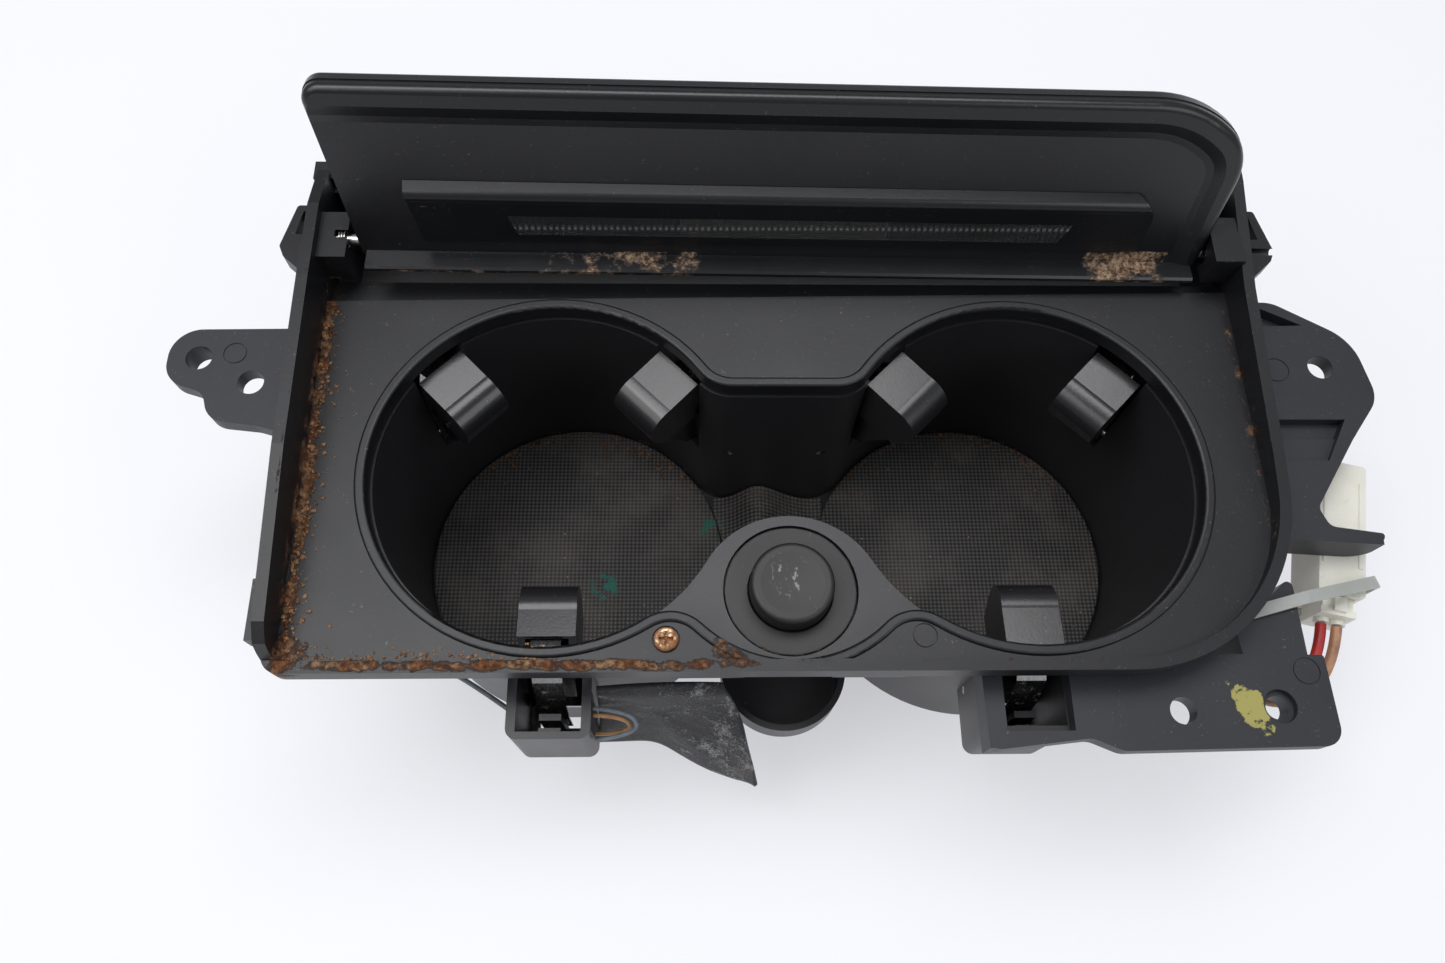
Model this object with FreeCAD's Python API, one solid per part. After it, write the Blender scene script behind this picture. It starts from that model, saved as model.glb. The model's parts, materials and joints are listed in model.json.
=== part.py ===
"""Vehicle console cup holder: a two-well tray with sprung cup grippers, a lighter socket and a lit flap.

Millimetres. X runs to the right, Y to the back, Z up. The pieces are drawn from the deck's top face
(z = 0) and saved with the origin at the middle of the housing's flat underside, between the two wells.
"""
import FreeCAD, Part
import math
import os
from FreeCAD import Placement, Rotation, Vector

# ---- driving dimensions -------------------------------------------------------------------------
DECK_HEIGHT = 86.0        # deck top above the underside of the housing

WELL_R = 50.0             # cup well
WELL_X = 64.9             # well centres at x = -WELL_X and +WELL_X
BRIDGE_Y = 24.5           # front edge of the deck tongue between the wells
BRIDGE_CORNER_R = 12.0
LAND_R = 12.0             # round lands of the front strip, over the two fixing points
BAY_Y, BAY_R = -19.0, 34.5    # wide arc of the front strip round the socket
RIM_WIDTH, RIM_RISE = 3.0, 0.9
LIP_THICK, LIP_DEPTH = 1.8, 4.2

DECK_THICK = 3.0
WALL_X, WALL_THICK = 135.0, 3.2
FRONT_Y, REAR_Y = -57.0, 88.0
FRONT_LEFT_R, FRONT_RIGHT_R = 5.0, 48.0
SKIRT_Z = -5.0            # underside of the outer wall
DECK_REAR_LEFT, DECK_REAR_RIGHT = 52.2, 56.4
LEFT_WALL_TOP = [(92, 12.5), (74, 17), (50, 17), (0, 15.5), (-46, 10.8), (-51, 8), (-53.6, 1.6), (-60, 1.6)]
RIGHT_WALL_TOP = [(92, 17.5), (84, 17), (51, 11), (0, 7), (-25, 3.8), (-50, 1.8), (-60, 1.6)]
TROUGH_FRONT_Y, TROUGH_Z = 58.5, -24.0

HOUSING_TOP = -5.3
HOUSING_WALL = 2.2
TAB_BOTTOM = -8.0
FLOOR_THICK = 2.0
MAT_THICK = 2.0
PLATFORM_THICK = 5.0

GRIPPER_ANGLES = {"front": 270.0, "rear_right": 45.0, "rear_left": 135.0}
GRIPPER_WIDTH = 15.5
GRIPPER_FOOT_WIDTH = 12.0
GRIPPER_PIVOT = (52.5, -44.5)     # distance from the well's axis, and z
PIN_R = 1.2
RUNNING_GAP = 0.05
CAGE_DEPTH = 18.0
CAGE_INNER = 17.5
CAGE_WALL = 2.6
CAGE_BOTTOM = -52.0
SPRING_POST_TOP = -24.0
LEAF_WIDTH, LEAF_THICK = 8.0, 0.5

SOCKET_Y = -33.4
RING_R, RING_TOP = 17.9, -5.8
BARREL_R, BARREL_WALL = 11.6, 0.8
BARREL_BOTTOM = -48.0
KNOB_R, KNOB_NECK_R, KNOB_TOP = 11.2, 10.2, 1.6
RING_BORE_R = 10.9
CAN_R, CAN_BOTTOM = 10.3, -36.0

LID_ORIGIN_Y, LID_ORIGIN_Z = 64.0, 10.0
HINGE_UP, HINGE_OUT = -0.5, -2.0      # the hinge axis, up the lid and out of its inner face
HINGE_PIN_R = 1.6
CHEEK_X = 123.6           # inner faces of the hinge cheeks
LID_LEAN = 20.0           # the open lid leans back from upright
LID_ROLL = 1.0            # the lid and its axis fall this much towards the right
LID_TOP, LID_BOTTOM = 48.0, -6.3
LID_BACK, LID_SEAM = -7.0, -2.5       # outer face of the lid and the joint of its two halves
LID_RIM_RISE = 1.2
SKIN = 1.8

EAR_TOP, EAR_THICK = -8.0, 5.0
FRONT_BRACKET_TOP, FRONT_BRACKET_THICK = -11.0, 5.0
FIXING_R = 3.8
PEG_HOLE_R = 3.1

BEZEL_SCREW = (-33.1, -48.2)
MOULD_PEG = (33.9, -47.5)
HOUSING_SCREWS = [(-123.0, 0.0), (123.0, 0.0), (0.0, 34.0)]
EAR_SCREWS = [(-125.0, 42.0), (-125.0, 14.0)]
REAR_BRACKET_SCREWS = [(125.0, 44.0), (125.0, 12.0)]
FRONT_BRACKET_SCREWS = [(107.0, -43.0)]

WIRE_R = 0.7
THIN_WIRE_R = 0.6
FEED_R = 1.5
LOOP_GREY = [(-53.2, -61.5, -22.5), (-42.4, -62.2, -23), (-41, -67.2, -30.8), (-53.2, -68.4, -31.6)]
LOOP_TAN = [(-53.2, -63, -24.2), (-44, -63.4, -24.6), (-43.2, -66.4, -33.4), (-53.2, -66.4, -33.6)]
LEFT_CABLE = [(-76.8, -60.5, -30), (-88, -52.6, -30), (-105, -44, -30.5), (-118, -26, -31), (-121.5, -8, -32),
              (-118.4, 4, -33)]
RED_WIRE = [(154.6, -37.6, -27), (152, -48.5, -27.5), (145.5, -56, -37), (138.5, -49, -47.5), (135, -33, -50),
            (133, -3, -50), (130, 36, -46), (126.5, 64, -41), (126, 66, -22.6)]
BROWN_WIRE = [(159.0, -38.7, -27), (155.5, -51.5, -28), (147, -59.5, -39), (139, -52, -51), (135.5, -35, -54),
              (134, -3, -54.5), (129, 36, -50.5), (121.6, 63.5, -45), (121, 66, -22.6)]
CONNECTOR_CORNER = (152.2, -29.5)
CONNECTOR_TURN = -13.4


# ---- shape helpers ------------------------------------------------------------------------------
def box(x0, x1, y0, y1, z0, z1):
    return Part.makeBox(x1 - x0, y1 - y0, z1 - z0, Vector(x0, y0, z0))


def cyl(x, y, r, z0, z1):
    return Part.makeCylinder(r, z1 - z0, Vector(x, y, z0))


def ring(x, y, outer, inner, z0, z1):
    return cyl(x, y, outer, z0, z1).cut(cyl(x, y, inner, z0 - 1, z1 + 1))


def fuse(first, *rest):
    return first.multiFuse(list(rest)).removeSplitter()


def save(name, shape):
    """Write one node, lifted so that the housing's underside is at z = 0."""
    moved = shape.copy()
    moved.translate(Vector(0, 0, DECK_HEIGHT))
    moved.exportStep(f"parts/{name}.step")


def rounded(corners):
    """Closed wire through corners (x, y, radius); a radius of 0 leaves the corner sharp."""
    count = len(corners)
    ends = []
    for i, (x, y, r) in enumerate(corners):
        here = Vector(x, y, 0)
        before = Vector(*corners[i - 1][:2], 0) - here
        after = Vector(*corners[(i + 1) % count][:2], 0) - here
        before.normalize()
        after.normalize()
        half = before.getAngle(after) / 2
        if r <= 0:
            ends.append((here, None, here))
            continue
        reach = r / math.tan(half)
        inward = before + after
        inward.normalize()
        centre = here + inward * (r / math.sin(half))
        ends.append((here + before * reach, centre - inward * r, here + after * reach))
    edges = []
    for i, (start, middle, finish) in enumerate(ends):
        if middle is not None:
            edges.append(Part.Arc(start, middle, finish).toShape())
        following = ends[(i + 1) % count][0]
        if (following - finish).Length > 1e-6:
            edges.append(Part.LineSegment(finish, following).toShape())
    return Part.Wire(edges)


def prism(corners, z0, z1):
    """Upright prism of a rounded outline."""
    face = Part.Face(rounded([c if len(c) == 3 else (*c, 0) for c in corners]))
    face.translate(Vector(0, 0, z0))
    return face.extrude(Vector(0, 0, z1 - z0))


def side_prism(profile, x0, x1):
    """Prism of a (y, z) profile run along X."""
    points = [Vector(x0, y, z) for y, z in profile]
    return Part.Face(Part.makePolygon(points + points[:1])).extrude(Vector(x1 - x0, 0, 0))


def strip_profile(points, thick):
    """Outline of a bent strip: its centre line points, thickened square to the line."""
    left, right = [], []
    for i, (x, z) in enumerate(points):
        x0, z0 = points[max(i - 1, 0)]
        x1, z1 = points[min(i + 1, len(points) - 1)]
        length = math.hypot(x1 - x0, z1 - z0)
        nx, nz = -(z1 - z0) / length * thick / 2, (x1 - x0) / length * thick / 2
        left.append((x + nx, z + nz))
        right.append((x - nx, z - nz))
    return left + right[::-1]


def across(profile, width):
    """Prism of an (x, z) profile, centred on y = 0."""
    points = [Vector(x, -width / 2, z) for x, z in profile]
    return Part.Face(Part.makePolygon(points + points[:1])).extrude(Vector(0, width, 0))


def arc(centre, r, a0, a1):
    points = []
    for a in (a0, (a0 + a1) / 2, a1):
        points.append(Vector(centre[0] + r * math.cos(math.radians(a)),
                             centre[1] + r * math.sin(math.radians(a)), 0))
    return Part.Arc(*points).toShape()


def bearing(a, b):
    return math.degrees(math.atan2(b[1] - a[1], b[0] - a[0]))


def lower_meeting(c1, r1, c2, r2):
    """The lower of the two points at r1 from c1 and r2 from c2."""
    span = math.hypot(c2[0] - c1[0], c2[1] - c1[1])
    along = (r1 * r1 - r2 * r2 + span * span) / (2 * span)
    aside = math.sqrt(r1 * r1 - along * along)
    ux, uy = (c2[0] - c1[0]) / span, (c2[1] - c1[1]) / span
    found = [(c1[0] + along * ux + s * aside * uy, c1[1] + along * uy - s * aside * ux) for s in (1, -1)]
    return min(found, key=lambda p: p[1])


# ---- the two-well outline -----------------------------------------------------------------------
LEFT_WELL = (-WELL_X, 0.0)
TONGUE_Y = BRIDGE_Y + BRIDGE_CORNER_R
TONGUE_X = WELL_X - math.sqrt((WELL_R + BRIDGE_CORNER_R) ** 2 - TONGUE_Y ** 2)
TONGUE = (-TONGUE_X, TONGUE_Y)
BAY = (0.0, BAY_Y)
LAND = lower_meeting(LEFT_WELL, WELL_R + LAND_R, BAY, BAY_R + LAND_R)
COLLAR_BACK_Y = -12.9
# The collar is a round hump that meets both wells smoothly and passes through COLLAR_BACK_Y.
COLLAR_Y = (WELL_X ** 2 - (WELL_R + COLLAR_BACK_Y) ** 2) / (-2 * (WELL_R + COLLAR_BACK_Y))
COLLAR_R = COLLAR_BACK_Y - COLLAR_Y
COLLAR = (0.0, COLLAR_Y)


def well_face(grow, front):
    """The wells' joint outline grown by `grow`: front is "bay" for the deck and "collar" for the cups."""
    a_tongue = bearing(LEFT_WELL, TONGUE)
    tongue_r = BRIDGE_CORNER_R - grow
    if front == "bay":
        a_front = bearing(LEFT_WELL, LAND) + 360
        a_bay = bearing(LAND, BAY)
        front_arcs = [arc(LAND, LAND_R - grow, a_front - 180, a_bay),
                      arc(BAY, BAY_R + grow, a_bay + 180, 360 - a_bay),
                      arc((-LAND[0], LAND[1]), LAND_R - grow, 180 - a_bay, 360 - a_front)]
    else:
        a_front = bearing(LEFT_WELL, COLLAR) + 360
        front_arcs = [arc(COLLAR, COLLAR_R - grow, a_front - 180, 360 - a_front)]
    edges = [arc(LEFT_WELL, WELL_R + grow, a_tongue, a_front)]
    edges += front_arcs
    edges.append(arc((WELL_X, 0), WELL_R + grow, 180 - a_front, 180 - a_tongue))
    edges.append(arc((TONGUE_X, TONGUE_Y), tongue_r, -a_tongue, -90))
    edges.append(Part.LineSegment(Vector(TONGUE_X, BRIDGE_Y + grow, 0),
                                  Vector(-TONGUE_X, BRIDGE_Y + grow, 0)).toShape())
    edges.append(arc(TONGUE, tongue_r, -90, a_tongue - 180))
    return Part.Face(Part.Wire(edges))


def well_prism(grow, front, z0, z1):
    face = well_face(grow, front)
    face.translate(Vector(0, 0, z0))
    return face.extrude(Vector(0, 0, z1 - z0))


# ---- tray bezel ---------------------------------------------------------------------------------
def outer_prism(inset, z0, z1):
    x, r = WALL_X - inset, FRONT_RIGHT_R - inset
    return prism([(-x, REAR_Y, 0), (-x, FRONT_Y + inset, FRONT_LEFT_R - inset), (x, FRONT_Y + inset, r),
                  (x, REAR_Y, 0)], z0, z1)


def side_walls():
    """Outer wall, its top falling from the hinge cheeks to a low front edge."""
    band = outer_prism(0, SKIRT_Z, 20).cut(outer_prism(WALL_THICK, SKIRT_Z - 1, 21))
    left = side_prism(LEFT_WALL_TOP + [(-60, SKIRT_Z), (92, SKIRT_Z)], -150, 0)
    right = side_prism(RIGHT_WALL_TOP + [(-60, SKIRT_Z), (92, SKIRT_Z)], 0, 150)
    return band.common(left.fuse(right))


def latch_lug(side):
    """Snap lug on the outside of a side wall, with its relief slot."""
    x = side * WALL_X
    outline = [(x - side * 1, 80, 0), (x + side * 6.5, 80, 1), (x + side * 10, 66, 1.5),
               (x + side * 8.5, 62.5, 1.5), (x - side * 1, 54, 0)]
    slot = [(x + side * 1.6, 78), (x + side * 4.6, 78), (x + side * 6, 70), (x + side * 1.6, 70)]
    if side > 0:
        outline, slot = outline[::-1], slot[::-1]
    return prism(outline, 1.5, 7.5).cut(prism(slot, 0, 9))


def fixing_bosses():
    """Bosses under the deck that the brackets are screwed to."""
    bosses = [cyl(x, y, 4.2, EAR_TOP, -DECK_THICK + 0.5) for x, y in EAR_SCREWS + REAR_BRACKET_SCREWS]
    bosses += [cyl(x, y, 4.2, FRONT_BRACKET_TOP, -DECK_THICK + 0.5) for x, y in FRONT_BRACKET_SCREWS]
    return bosses


def hinge_axis(radius, x0, x1):
    """Cylinder on the lid's hinge axis, drawn in the lid's own frame."""
    return Part.makeCylinder(radius, x1 - x0, Vector(x0, HINGE_UP, HINGE_OUT), Vector(1, 0, 0))


def rim_bead():
    """Rounded bead round the wells' joint opening."""
    bead = well_prism(RIM_WIDTH, "bay", -1, RIM_RISE).cut(well_prism(0, "bay", -2, RIM_RISE + 1))
    top = [e for e in bead.Edges if all(abs(v.Z - RIM_RISE) < 1e-6 for v in e.Vertexes)]
    return bead.makeFillet(0.85, top)


def tray_bezel():
    inner = WALL_X - WALL_THICK + 0.5
    deck = prism([(-inner, DECK_REAR_LEFT, 0), (-inner, FRONT_Y + 2, 4), (inner, FRONT_Y + 2, 45),
                  (inner, DECK_REAR_RIGHT, 0)], -DECK_THICK, 0)
    lip = well_prism(LIP_THICK, "bay", -LIP_DEPTH, -1)
    ledge = box(-inner, inner, 49, TROUGH_FRONT_Y, -LIP_DEPTH, -DECK_THICK)
    trough = box(-inner, inner, TROUGH_FRONT_Y, REAR_Y, TROUGH_Z, -DECK_THICK).cut(
        box(-inner + 2, inner - 2, TROUGH_FRONT_Y + 2, REAR_Y - 3, TROUGH_Z + 2, 0))
    rear_beam = box(-inner, inner, REAR_Y - 3, REAR_Y, -DECK_THICK - 1, 7)
    tab = box(-WALL_X - 2, -WALL_X + 5, REAR_Y - 1, REAR_Y + 5, 6, 11)
    pads = [box(-WALL_X - 1.2, -WALL_X + 1, -24, 48, 3, 8.4), box(-WALL_X - 2.4, -WALL_X + 1, -50, -34, 2, 7.6)]
    cheeks = [box(-inner, -CHEEK_X, 58, 73, 3, 14), box(CHEEK_X, inner, 58, 73, 3, 14)]
    body = fuse(deck, side_walls(), lip, ledge, trough, rear_beam, tab, *pads, *cheeks, latch_lug(-1),
                latch_lug(1), *fixing_bosses())
    body = body.cut(well_prism(0, "bay", -LIP_DEPTH - 1, RIM_RISE + 1))
    body = fuse(body, rim_bead())
    body = body.cut(stand_up(hinge_axis(HINGE_PIN_R + 0.02, -160, 160)))
    for x0, x1 in ((-CHEEK_X - 3.8, -CHEEK_X + 1), (CHEEK_X - 1, CHEEK_X + 3.8)):
        body = body.cut(stand_up(hinge_axis(3.2, x0, x1)))
    x, y = BEZEL_SCREW
    body = body.cut(cyl(x, y, 1.8, -8, 2)).cut(cyl(x, y, 3.6, -0.9, 2))
    body = body.cut(ring(*MOULD_PEG, 3.3, 2.9, -0.4, 1))
    for x, y in EAR_SCREWS + REAR_BRACKET_SCREWS + FRONT_BRACKET_SCREWS:
        body = body.cut(cyl(x, y, 1.25, -12, -1.2))
    for x, y in HOUSING_SCREWS:
        body = body.cut(cyl(x, y, 1.25, -4, -1.2))
    for wire in (RED_WIRE, BROWN_WIRE):
        x, y = wire[-1][:2]
        body = body.cut(cyl(x, y, FEED_R + 0.5, TROUGH_Z - 1, TROUGH_Z + 3))
    return body


# ---- housing and mats ---------------------------------------------------------------------------
def at_gripper(shape, well_x, angle):
    """Turn a piece drawn with x away from the well's axis to its place round the well."""
    placed = shape.copy()
    placed.rotate(Vector(0, 0, 0), Vector(0, 0, 1), angle)
    placed.translate(Vector(well_x, 0, 0))
    return placed


def cage_top(well_x, angle):
    if angle != GRIPPER_ANGLES["front"]:
        return -9.0
    return -20.0 if well_x < 0 else FRONT_BRACKET_TOP - FRONT_BRACKET_THICK


def gripper_places():
    for side, well_x in (("left", -WELL_X), ("right", WELL_X)):
        for place, angle in GRIPPER_ANGLES.items():
            yield side, place, well_x, angle


def cage_block(well_x, angle):
    half = CAGE_INNER / 2 + CAGE_WALL
    block = box(WELL_R + 0.8, WELL_R + CAGE_DEPTH + CAGE_WALL - 0.6, -half, half, CAGE_BOTTOM,
                cage_top(well_x, angle))
    outer = [e for e in block.Edges if e.BoundBox.ZLength > 5 and e.BoundBox.XMin > WELL_R + 5]
    return at_gripper(block.makeFillet(3.0, outer), well_x, angle)


def cage_hollow(well_x, angle):
    """Pocket behind the well's wall, a slot in its floor and the bore for the gripper's pin."""
    half = CAGE_INNER / 2
    pocket = box(WELL_R - 3, WELL_R + CAGE_DEPTH, -half, half, CAGE_BOTTOM + 2, 0)
    slot = box(53, 62, -6, 6, CAGE_BOTTOM - 1, CAGE_BOTTOM + 3)
    pivot = Part.makeCylinder(PIN_R + 0.02, 40, Vector(GRIPPER_PIVOT[0], -20, GRIPPER_PIVOT[1]), Vector(0, 1, 0))
    return at_gripper(pocket.fuse(pivot).fuse(slot), well_x, angle)


def spring_post(well_x, angle):
    """Post in the pocket that the leaf spring's foot leans on."""
    post = box(62.6, WELL_R + CAGE_DEPTH + 0.5, -3, 3, CAGE_BOTTOM + 1, SPRING_POST_TOP)
    return at_gripper(post.cut(box(64.4, 66.4, -4, 4, -40, SPRING_POST_TOP + 1)), well_x, angle)


def well_housing():
    bottom = -DECK_HEIGHT
    shell = well_prism(HOUSING_WALL, "collar", bottom, HOUSING_TOP)
    tips = abs(LAND[0])
    front = FRONT_Y + WALL_THICK + 0.3
    platform = box(-tips, tips, front, COLLAR_BACK_Y - 1, HOUSING_TOP - PLATFORM_THICK, HOUSING_TOP)
    skirt = box(-tips, tips, front, front + 2.2, -22, HOUSING_TOP).cut(
        box(-12, 12, -60, -40, -23, HOUSING_TOP - PLATFORM_THICK))
    boss = cyl(*BEZEL_SCREW, 3.8, -20, HOUSING_TOP + 0.2)
    tabs = [box(-126.5, -114, -5, 5, TAB_BOTTOM, HOUSING_TOP), box(114, 126.5, -5, 5, TAB_BOTTOM, HOUSING_TOP),
            box(-5, 5, BRIDGE_Y + 1, 38, TAB_BOTTOM, HOUSING_TOP)]
    tabs += [box(-126.5, -117.2, -5, 5, HOUSING_TOP - 1, -DECK_THICK), box(-5, 5, 26.8, 38, HOUSING_TOP - 1, -DECK_THICK),
             box(117.2, 126.5, -5, 5, HOUSING_TOP - 1, -DECK_THICK)]
    base = box(-WELL_X, WELL_X, -10, BRIDGE_Y + HOUSING_WALL, bottom, bottom + FLOOR_THICK)
    cages = [cage_block(well_x, angle) for _, _, well_x, angle in gripper_places()]
    body = fuse(shell, platform, skirt, boss, base, *tabs, *cages)
    body = body.cut(well_prism(-0.5, "collar", bottom + FLOOR_THICK, 1))
    for _, _, well_x, angle in gripper_places():
        body = body.cut(cage_hollow(well_x, angle))
    body = fuse(body, *[spring_post(well_x, angle) for _, _, well_x, angle in gripper_places()])
    body = body.cut(cyl(0, SOCKET_Y, RING_R + 0.3, RING_TOP - 2.4, 0))
    body = body.cut(cyl(0, SOCKET_Y, 13.5, -30, 0))
    body = body.cut(cyl(*BEZEL_SCREW, 1.25, -18, 0))
    for x, y in HOUSING_SCREWS:
        body = body.cut(cyl(x, y, 1.7, -8, 0))
    return body


def mat(side):
    """Rubber disc on a well's floor, cut back where the socket's collar stands."""
    bottom = -DECK_HEIGHT + FLOOR_THICK
    disc = cyl(side * WELL_X, 0, WELL_R - 0.9, bottom, bottom + MAT_THICK)
    disc = disc.makeFillet(0.6, [e for e in disc.Edges if abs(e.BoundBox.ZMin - bottom - MAT_THICK) < 1e-6])
    return disc.common(well_prism(-0.9, "collar", bottom - 1, bottom + 5))


def mat_link():
    """Rubber strip that humps up between the two mats."""
    line = [(-19, -82.8), (-12, -79.5), (-4, -71.5), (4, -77), (10, -81.7), (19, -82.8)]
    edges = []
    for drop in (0.0, 1.1):
        spline = Part.BSplineCurve()
        spline.interpolate([Vector(x, -12, z - drop) for x, z in line])
        edges.append(spline.toShape())
    for x, z in (line[0], line[-1]):
        edges.append(Part.LineSegment(Vector(x, -12, z), Vector(x, -12, z - 1.1)).toShape())
    strip = Part.Face(Part.Wire(Part.__sortEdges__(edges))).extrude(Vector(0, 36, 0))
    strip = strip.common(well_prism(-0.9, "collar", -DECK_HEIGHT + FLOOR_THICK, -60))
    for side in (-1, 1):
        strip = strip.cut(cyl(side * WELL_X, 0, WELL_R - 0.6, -90, -60))
    return strip


# ---- grippers -----------------------------------------------------------------------------------
def gripper(back_edge):
    """Hollow rocking finger: a flat top, a round nose and a narrow foot on its pivot."""
    nose = Part.Arc(Vector(37.8, 0, -8.2), Vector(31.7, 0, -10.3), Vector(29.6, 0, -14.5)).toShape()
    corners = [(29.6, -14.5), (31, -20), (42, -38), (46.5, -46), (52.5, -48.9), (56.5, -46.5), (57, -42),
               (54, -34), (51, -28), (50.4, -15), (back_edge, -9.2), (back_edge, -7.2), (37.8, -8.2)]
    sides = [Part.LineSegment(Vector(a[0], 0, a[1]), Vector(b[0], 0, b[1])).toShape()
             for a, b in zip(corners, corners[1:])]
    face = Part.Face(Part.Wire([nose] + sides))
    face.translate(Vector(0, -GRIPPER_WIDTH / 2, 0))
    body = face.extrude(Vector(0, GRIPPER_WIDTH, 0))
    hollow = [(back_edge + 2, -9.2), (38.6, -10.0), (33.8, -12), (31.9, -15.4), (33.2, -20.4), (43.6, -37.4),
              (62, -37.4), (62, -9.2)]
    body = body.cut(across(hollow, GRIPPER_WIDTH - 4))
    cheek = (GRIPPER_WIDTH - GRIPPER_FOOT_WIDTH) / 2
    for y in (-GRIPPER_WIDTH / 2 - 1, GRIPPER_WIDTH / 2 - cheek):
        body = body.cut(box(28, 50.6, y, y + cheek + 1, -60, -27))
    bore = Part.makeCylinder(PIN_R + RUNNING_GAP, 40, Vector(GRIPPER_PIVOT[0], -20, GRIPPER_PIVOT[1]),
                             Vector(0, 1, 0))
    return body.cut(bore)


def leaf_spring(top):
    """Bent steel strip from the pocket's post to the inside of the finger."""
    line = [(61.6, -47), (61.6, -36), (60, -26), (56, -15), (49.4, top - 0.6), (48, top), (46.6, top - 0.8),
            (44.5, -14.5)]
    return across(strip_profile(line, LEAF_THICK), LEAF_WIDTH)


def gripper_pin():
    length = CAGE_INNER + 2 * CAGE_WALL
    return Part.makeCylinder(PIN_R, length, Vector(GRIPPER_PIVOT[0], -length / 2, GRIPPER_PIVOT[1]),
                             Vector(0, 1, 0))


# ---- lighter socket -----------------------------------------------------------------------------
def socket_ring():
    body = ring(0, SOCKET_Y, RING_R, RING_BORE_R, RING_TOP - 2.4, RING_TOP)
    mouth = Part.makeCone(RING_BORE_R, RING_BORE_R + 0.8, 0.9, Vector(0, SOCKET_Y, RING_TOP - 0.9))
    body = body.cut(mouth)
    return body.makeFillet(0.5, [e for e in body.Edges if abs(e.BoundBox.ZMin - RING_TOP) < 1e-6
                                 and e.BoundBox.XLength > 2 * RING_R - 1])


def socket_barrel():
    can = cyl(0, SOCKET_Y, BARREL_R, BARREL_BOTTOM, RING_TOP - 2.6)
    can = can.cut(cyl(0, SOCKET_Y, BARREL_R - BARREL_WALL, BARREL_BOTTOM + 1, 0))
    return can.cut(cyl(0, SOCKET_Y, 3.2, BARREL_BOTTOM - 1, 0))


def socket_sleeve():
    top = HOUSING_TOP - PLATFORM_THICK
    tube = ring(0, SOCKET_Y, 13.3, BARREL_R + 0.05, -40, top)
    flange = ring(0, SOCKET_Y, 15.5, BARREL_R + 0.05, top - 2, top)
    ribs = [box(-0.8, 0.8, SOCKET_Y + 12.5, SOCKET_Y + 14.3, -38, top - 2)]
    for turn in range(1, 8):
        rib = ribs[0].copy()
        rib.rotate(Vector(0, SOCKET_Y, 0), Vector(0, 0, 1), 45 * turn)
        ribs.append(rib)
    return fuse(tube, flange, *ribs)


def socket_insulator():
    disc = cyl(0, SOCKET_Y, 9.5, BARREL_BOTTOM - 3, BARREL_BOTTOM)
    stem = cyl(0, SOCKET_Y, 3.1, BARREL_BOTTOM - 3, BARREL_BOTTOM + 2.4)
    return fuse(disc, stem)


def socket_terminals():
    """Two flat blade terminals under the insulator."""
    top = BARREL_BOTTOM - 3
    return Part.makeCompound([box(x - 0.4, x + 0.4, SOCKET_Y - 3.1, SOCKET_Y + 3.1, top - 8, top)
                              for x in (-4.0, 4.0)])


def socket_shroud():
    """Round-fronted open tray below the socket, that keeps spills off the terminals."""
    outline = [(-18, -30, 2), (-18, -65.2, 17.9), (18, -65.2, 17.9), (18, -30, 2)]
    inner = [(-16.2, -31.8, 1), (-16.2, -63.4, 16.1), (16.2, -63.4, 16.1), (16.2, -31.8, 1)]
    cup = prism(outline, -48, -38).cut(prism(inner, -46.4, -37))
    cup = cup.cut(cyl(0, SOCKET_Y, BARREL_R + 0.05, -49, -37)).cut(cyl(0, SOCKET_Y, 14.6, -41, -37))
    return cup.cut(well_prism(HOUSING_WALL + 0.1, "collar", -50, -30))


def lighter_knob():
    knob = cyl(0, SOCKET_Y, KNOB_R, RING_TOP + 0.6, KNOB_TOP)
    knob = knob.makeFillet(1.4, [e for e in knob.Edges if abs(e.BoundBox.ZMin - KNOB_TOP) < 1e-6])
    neck = cyl(0, SOCKET_Y, KNOB_NECK_R, -9.5, RING_TOP + 1)
    dish = Part.makeSphere(90, Vector(0, SOCKET_Y, KNOB_TOP + 89.6))
    return fuse(knob, neck).cut(dish)


def lighter_can():
    can = ring(0, SOCKET_Y, CAN_R, CAN_R - 0.7, CAN_BOTTOM, -10.1)
    lid = cyl(0, SOCKET_Y, CAN_R, -10.1, -9.5)
    return fuse(can, lid)


def lighter_coil():
    """Heating cup in the can's open end, on its stem."""
    cup = cyl(0, SOCKET_Y, 8.2, CAN_BOTTOM - 1, CAN_BOTTOM + 4).cut(
        cyl(0, SOCKET_Y, 7.4, CAN_BOTTOM - 2, CAN_BOTTOM + 2.4))
    stem = cyl(0, SOCKET_Y, 2.2, CAN_BOTTOM + 4, -10.1)
    return fuse(cup, stem)


# ---- lid: drawn flat, x along the hinge, y up the lid, z out of its inner face ------------------
LID_PLACE = Placement(Vector(0, LID_ORIGIN_Y, LID_ORIGIN_Z),
                      Rotation(Vector(0, 1, 0), LID_ROLL).multiply(Rotation(Vector(1, 0, 0), 90 - LID_LEAN)))
LENS_LEFT, LENS_RIGHT = -78.0, 81.5
LENS_LOW, LENS_HIGH = 4.2, 11.4
LAMP_LEFT, LAMP_RIGHT = -106.0, 103.0
LAMP_FOOT, LAMP_RIDGE = (1.5, 0.6), (15.8, 3.3)      # up the lid and out of its face
LAMP_SLOPE = (LAMP_RIDGE[1] - LAMP_FOOT[1]) / (LAMP_RIDGE[0] - LAMP_FOOT[0])


def stand_up(shape):
    placed = shape.copy()
    placed.Placement = LID_PLACE.multiply(placed.Placement)
    return placed


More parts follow.
